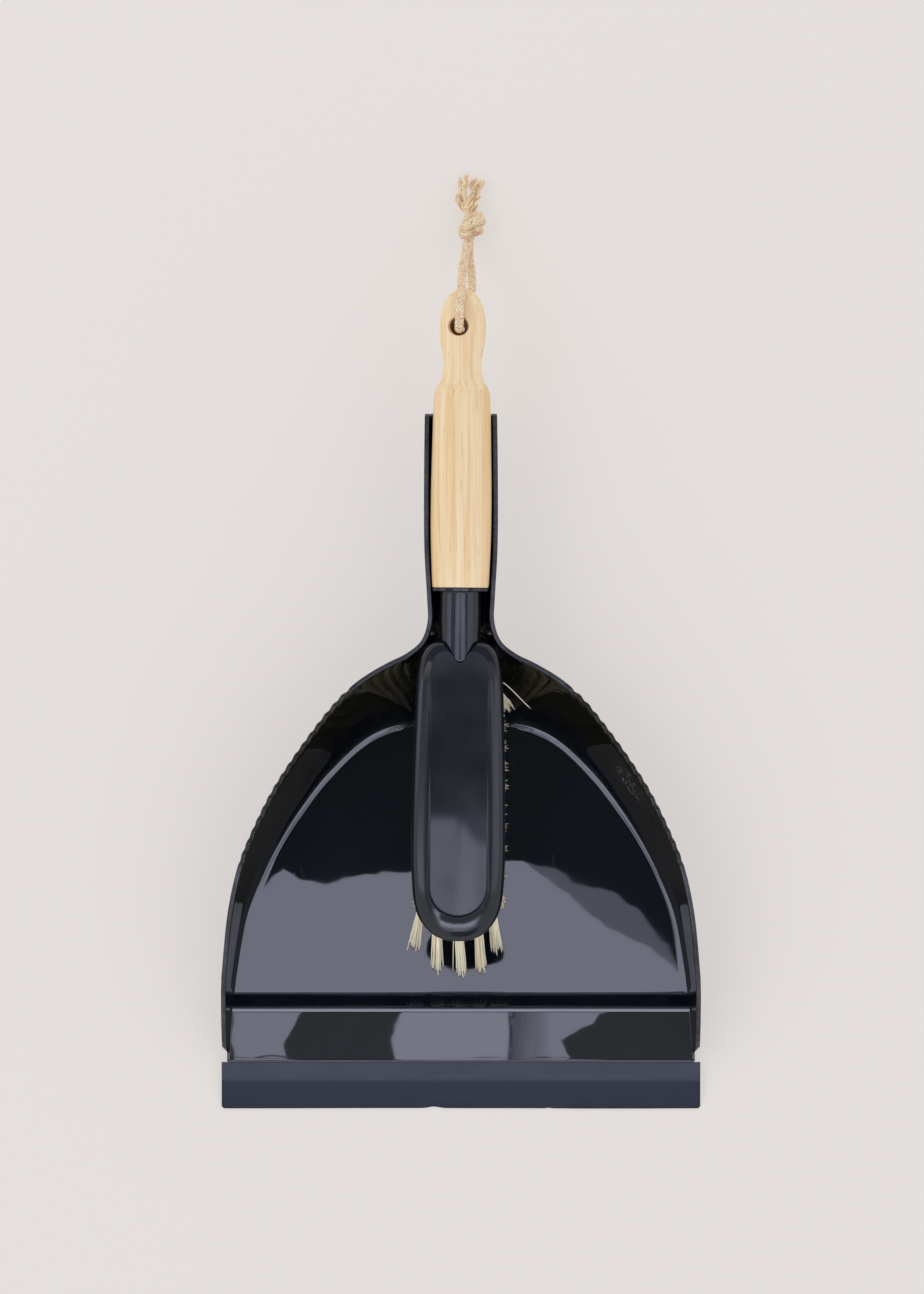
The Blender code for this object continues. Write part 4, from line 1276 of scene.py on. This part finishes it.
KNOT_CORES = (
    ((3.1, 219.2, 9.0), (3.2, 222.0, 7.9), (3.3, 226.0, 7.4), (3.4, 230.0, 7.2), (3.6, 233.6, 6.8)),
    ((4.1, 219.2, 5.2), (4.8, 222.0, 6.0), (5.4, 226.0, 6.6), (5.6, 230.0, 6.9), (5.5, 233.4, 6.6)),
)
KNOT_END = ((5.6, 226.2, 8.4), (6.4, 224.4, 10.0), (6.8, 223.2, 11.6), (6.85, 222.9, 12.9))
KNOT_CORE_R, KNOT_END_R, CUT_SIDES = 1.95, 1.4, 28
# The come-apart ends: each lock as (radius, line)
FRAY_LOCKS = (
    (1.05, ((3.7, 233.0, 6.8), (3.0, 236.0, 7.2), (2.0, 239.4, 6.6), (1.5, 243.0, 5.6), (2.5, 247.2, 4.4),
            (2.7, 251.0, 3.0))),
    (1.30, ((3.3, 233.0, 6.2), (1.0, 235.9, 6.4), (-0.9, 238.8, 5.8), (-1.1, 241.2, 4.8), (0.5, 242.6, 4.6),
            (2.0, 243.6, 5.0))),
    (0.95, ((3.2, 233.2, 5.4), (1.6, 237.4, 5.0), (0.4, 241.4, 4.4), (-0.5, 245.0, 3.8), (-0.4, 247.6, 3.2),
            (0.3, 249.9, 2.8))),
    (1.10, ((5.3, 233.0, 6.6), (6.6, 235.6, 7.0), (7.0, 238.0, 6.6), (8.3, 240.6, 5.6), (8.0, 243.2, 4.8),
            (9.4, 245.6, 4.2), (10.6, 248.2, 3.0))),
    (1.15, ((4.4, 233.2, 7.4), (4.5, 236.0, 8.2), (4.9, 239.2, 7.8), (5.4, 242.0, 6.8), (7.0, 245.2, 5.4),
            (7.8, 249.3, 3.4))),
    (1.05, ((5.2, 233.0, 5.8), (5.8, 237.2, 5.4), (7.2, 240.0, 4.8), (6.2, 243.0, 4.4), (5.2, 246.0, 3.8),
            (6.2, 248.6, 3.0))),
)
YARNS_IN_LOCK = 34


def closed_line(points, step):
    """A closed smooth line through points, its first point repeated at the end."""
    wrapped = [points[-1]] + list(points) + [points[0], points[1]]
    count = int(sum((Vector(a) - Vector(b)).length for a, b in zip(points, points[1:] + points[:1])) / step)
    return [Vector(spline(wrapped, 1 + len(points) * i / count)) for i in range(count + 1)]


def cut_end(line, radius):
    """A cord end cut straight across: (points, faces, grooves, strands), its rim and sunk face darkened with
    painted shade, its face brown.
    """
    points, faces, grooves, tints = braided_tube(line, radius, 0.2, sides=CUT_SIDES, pitch=9.0)
    across = frames(line)[-1]
    along = (line[-1] - line[-2]).normalized()
    faces.pop()
    last = len(points) - CUT_SIDES
    for share, rise, groove in ((0.92, 0.12, 1.0), (0.72, 0.0, 0.75), (0.5, -0.12, 0.45), (0.2, -0.15, 0.5)):
        points += ring_about(line[-1] + along * rise, across, radius * share, CUT_SIDES)
        grooves += [groove] * CUT_SIDES
        tints += [1.0] * CUT_SIDES
    faces += ring_faces(5, CUT_SIDES, last)
    faces.append(tuple(range(len(points) - CUT_SIDES, len(points))))
    return points, faces, grooves, tints


def make_knot(material):
    """The knot: three wraps round the cord's two legs, and the cut end that shows on it."""
    lines = [(radius, closed_line(wrap, CORD_STEP)) for radius, wrap in KNOT_WRAPS]
    parts = [braided_tube(line, radius, 0.5, start=7.0 * i) for i, (radius, line) in enumerate(lines)]
    for core in KNOT_CORES:
        parts.append(braided_tube(fine_route(core, CORD_STEP), KNOT_CORE_R, 0.45, round_ends=True))
    parts.append(cut_end(fine_route(KNOT_END, 0.3), KNOT_END_R))
    dice = random.Random(SEED + 5)
    for radius, line in lines:
        parts += fuzz(line, radius, KNOT_HAIRS, dice)
    knot = add_yarn("jute_knot", parts, material)
    return place(knot, "brush", "jute_cord", "cord_knot")


def make_fray(name, locks, material, dice):
    """Cord ends come apart: each lock is a twist of fine yarns that loosens towards its tip."""
    parts = []
    for radius, lock in locks:
        line = fine_route(lock, 0.5)
        across = frames(line)
        total = len(line) - 1
        for _ in range(YARNS_IN_LOCK):
            angle, reach = dice.uniform(0, 2 * pi), sqrt(dice.uniform(0.1, 1.0))
            twist = dice.uniform(0.9, 1.1) * 3.2
            stop = total if dice.random() < 0.5 else int(total * dice.uniform(0.55, 1.0))
            loose = dice.uniform(0.6, 1.5)
            yarn = []
            for i in range(stop + 1):
                t = i / total
                side, other = across[i]
                swell = 0.75 + 0.55 * sin(pi * min(t * 1.5, 1.0)) + loose * 0.6 * t**3
                a = angle + twist * pi * t
                yarn.append(line[i] + (side * cos(a) + other * sin(a)) * (reach * radius * swell))
            for p in yarn:
                p.z = max(p.z, 0.35)
            # inner yarns take more of the brown tint as painted shade deep in the lock; the rest of the tint
            # varies round the lock
            tint = max(0.5 + 0.5 * sin(2 * angle), 1 - 1.2 * reach) * dice.uniform(0.6, 1.0)
            parts.append(thin_tube(yarn, dice.uniform(0.15, 0.30), 5, 0.5, tint))
        parts += [grounded(hair) for hair in fuzz(line, radius, FRAY_HAIRS, dice, (1.0, 3.2), 0.04)]
    return add_yarn(name, parts, material)


def grounded(part):
    """The part, with no point below the table."""
    for p in part[0]:
        p.z = max(p.z, 0.1)
    return part


def make_cord():
    """The hanging cord: knot, frayed ends and two legs, each leg with its loose fibres."""
    braid = jute("jute_braid", (0.98, 0.86, 0.64), (0.82, 0.61, 0.38), (0.80, 0.49, 0.30))
    loose = jute(
        "jute_loose_fibre", (1.0, 0.92, 0.72), (0.98, 0.72, 0.43), (0.74, 0.40, 0.15), (0.62, 0.33, 0.12),
    )
    knot = make_knot(braid)
    dice = random.Random(SEED + 7)
    frays = []
    for name, locks, node in (
        ("jute_fray_left", FRAY_LOCKS[:3], "cord_fray_left"),
        ("jute_fray_right", FRAY_LOCKS[3:], "cord_fray_right"),
    ):
        fray = make_fray(name, locks, loose, dice)
        frays.append(place(fray, "brush", "jute_cord", node))
    for name, route, node, pieces in (
        ("jute_cord_front", FRONT_LEG, "cord_front_leg", [knot] + frays),
        ("jute_cord_back", BACK_LEG, "cord_back_leg", []),
    ):
        line = fine_route(route, CORD_STEP)
        hairs = fuzz(line, CORD_D / 2, LEG_HAIRS, dice)
        leg = place(add_yarn(name, [braided_tube(line, CORD_D / 2)], braid), "brush", "jute_cord", node)
        hair = place(add_yarn(name + "_fibres", hairs, braid), "brush", "jute_cord")


def main():
    """The camera and cord, the studio, then the pan and the brush."""
    make_camera()
    make_cord()
    make_floor()
    make_world()
    make_lights()
    gloss = gloss_plastic()
    pan = make_pan(gloss)
    make_pips(gloss)
    make_lip(lip_rubber())
    make_brush(satin_plastic(), bristle(), handle_wood(), pan)


main()
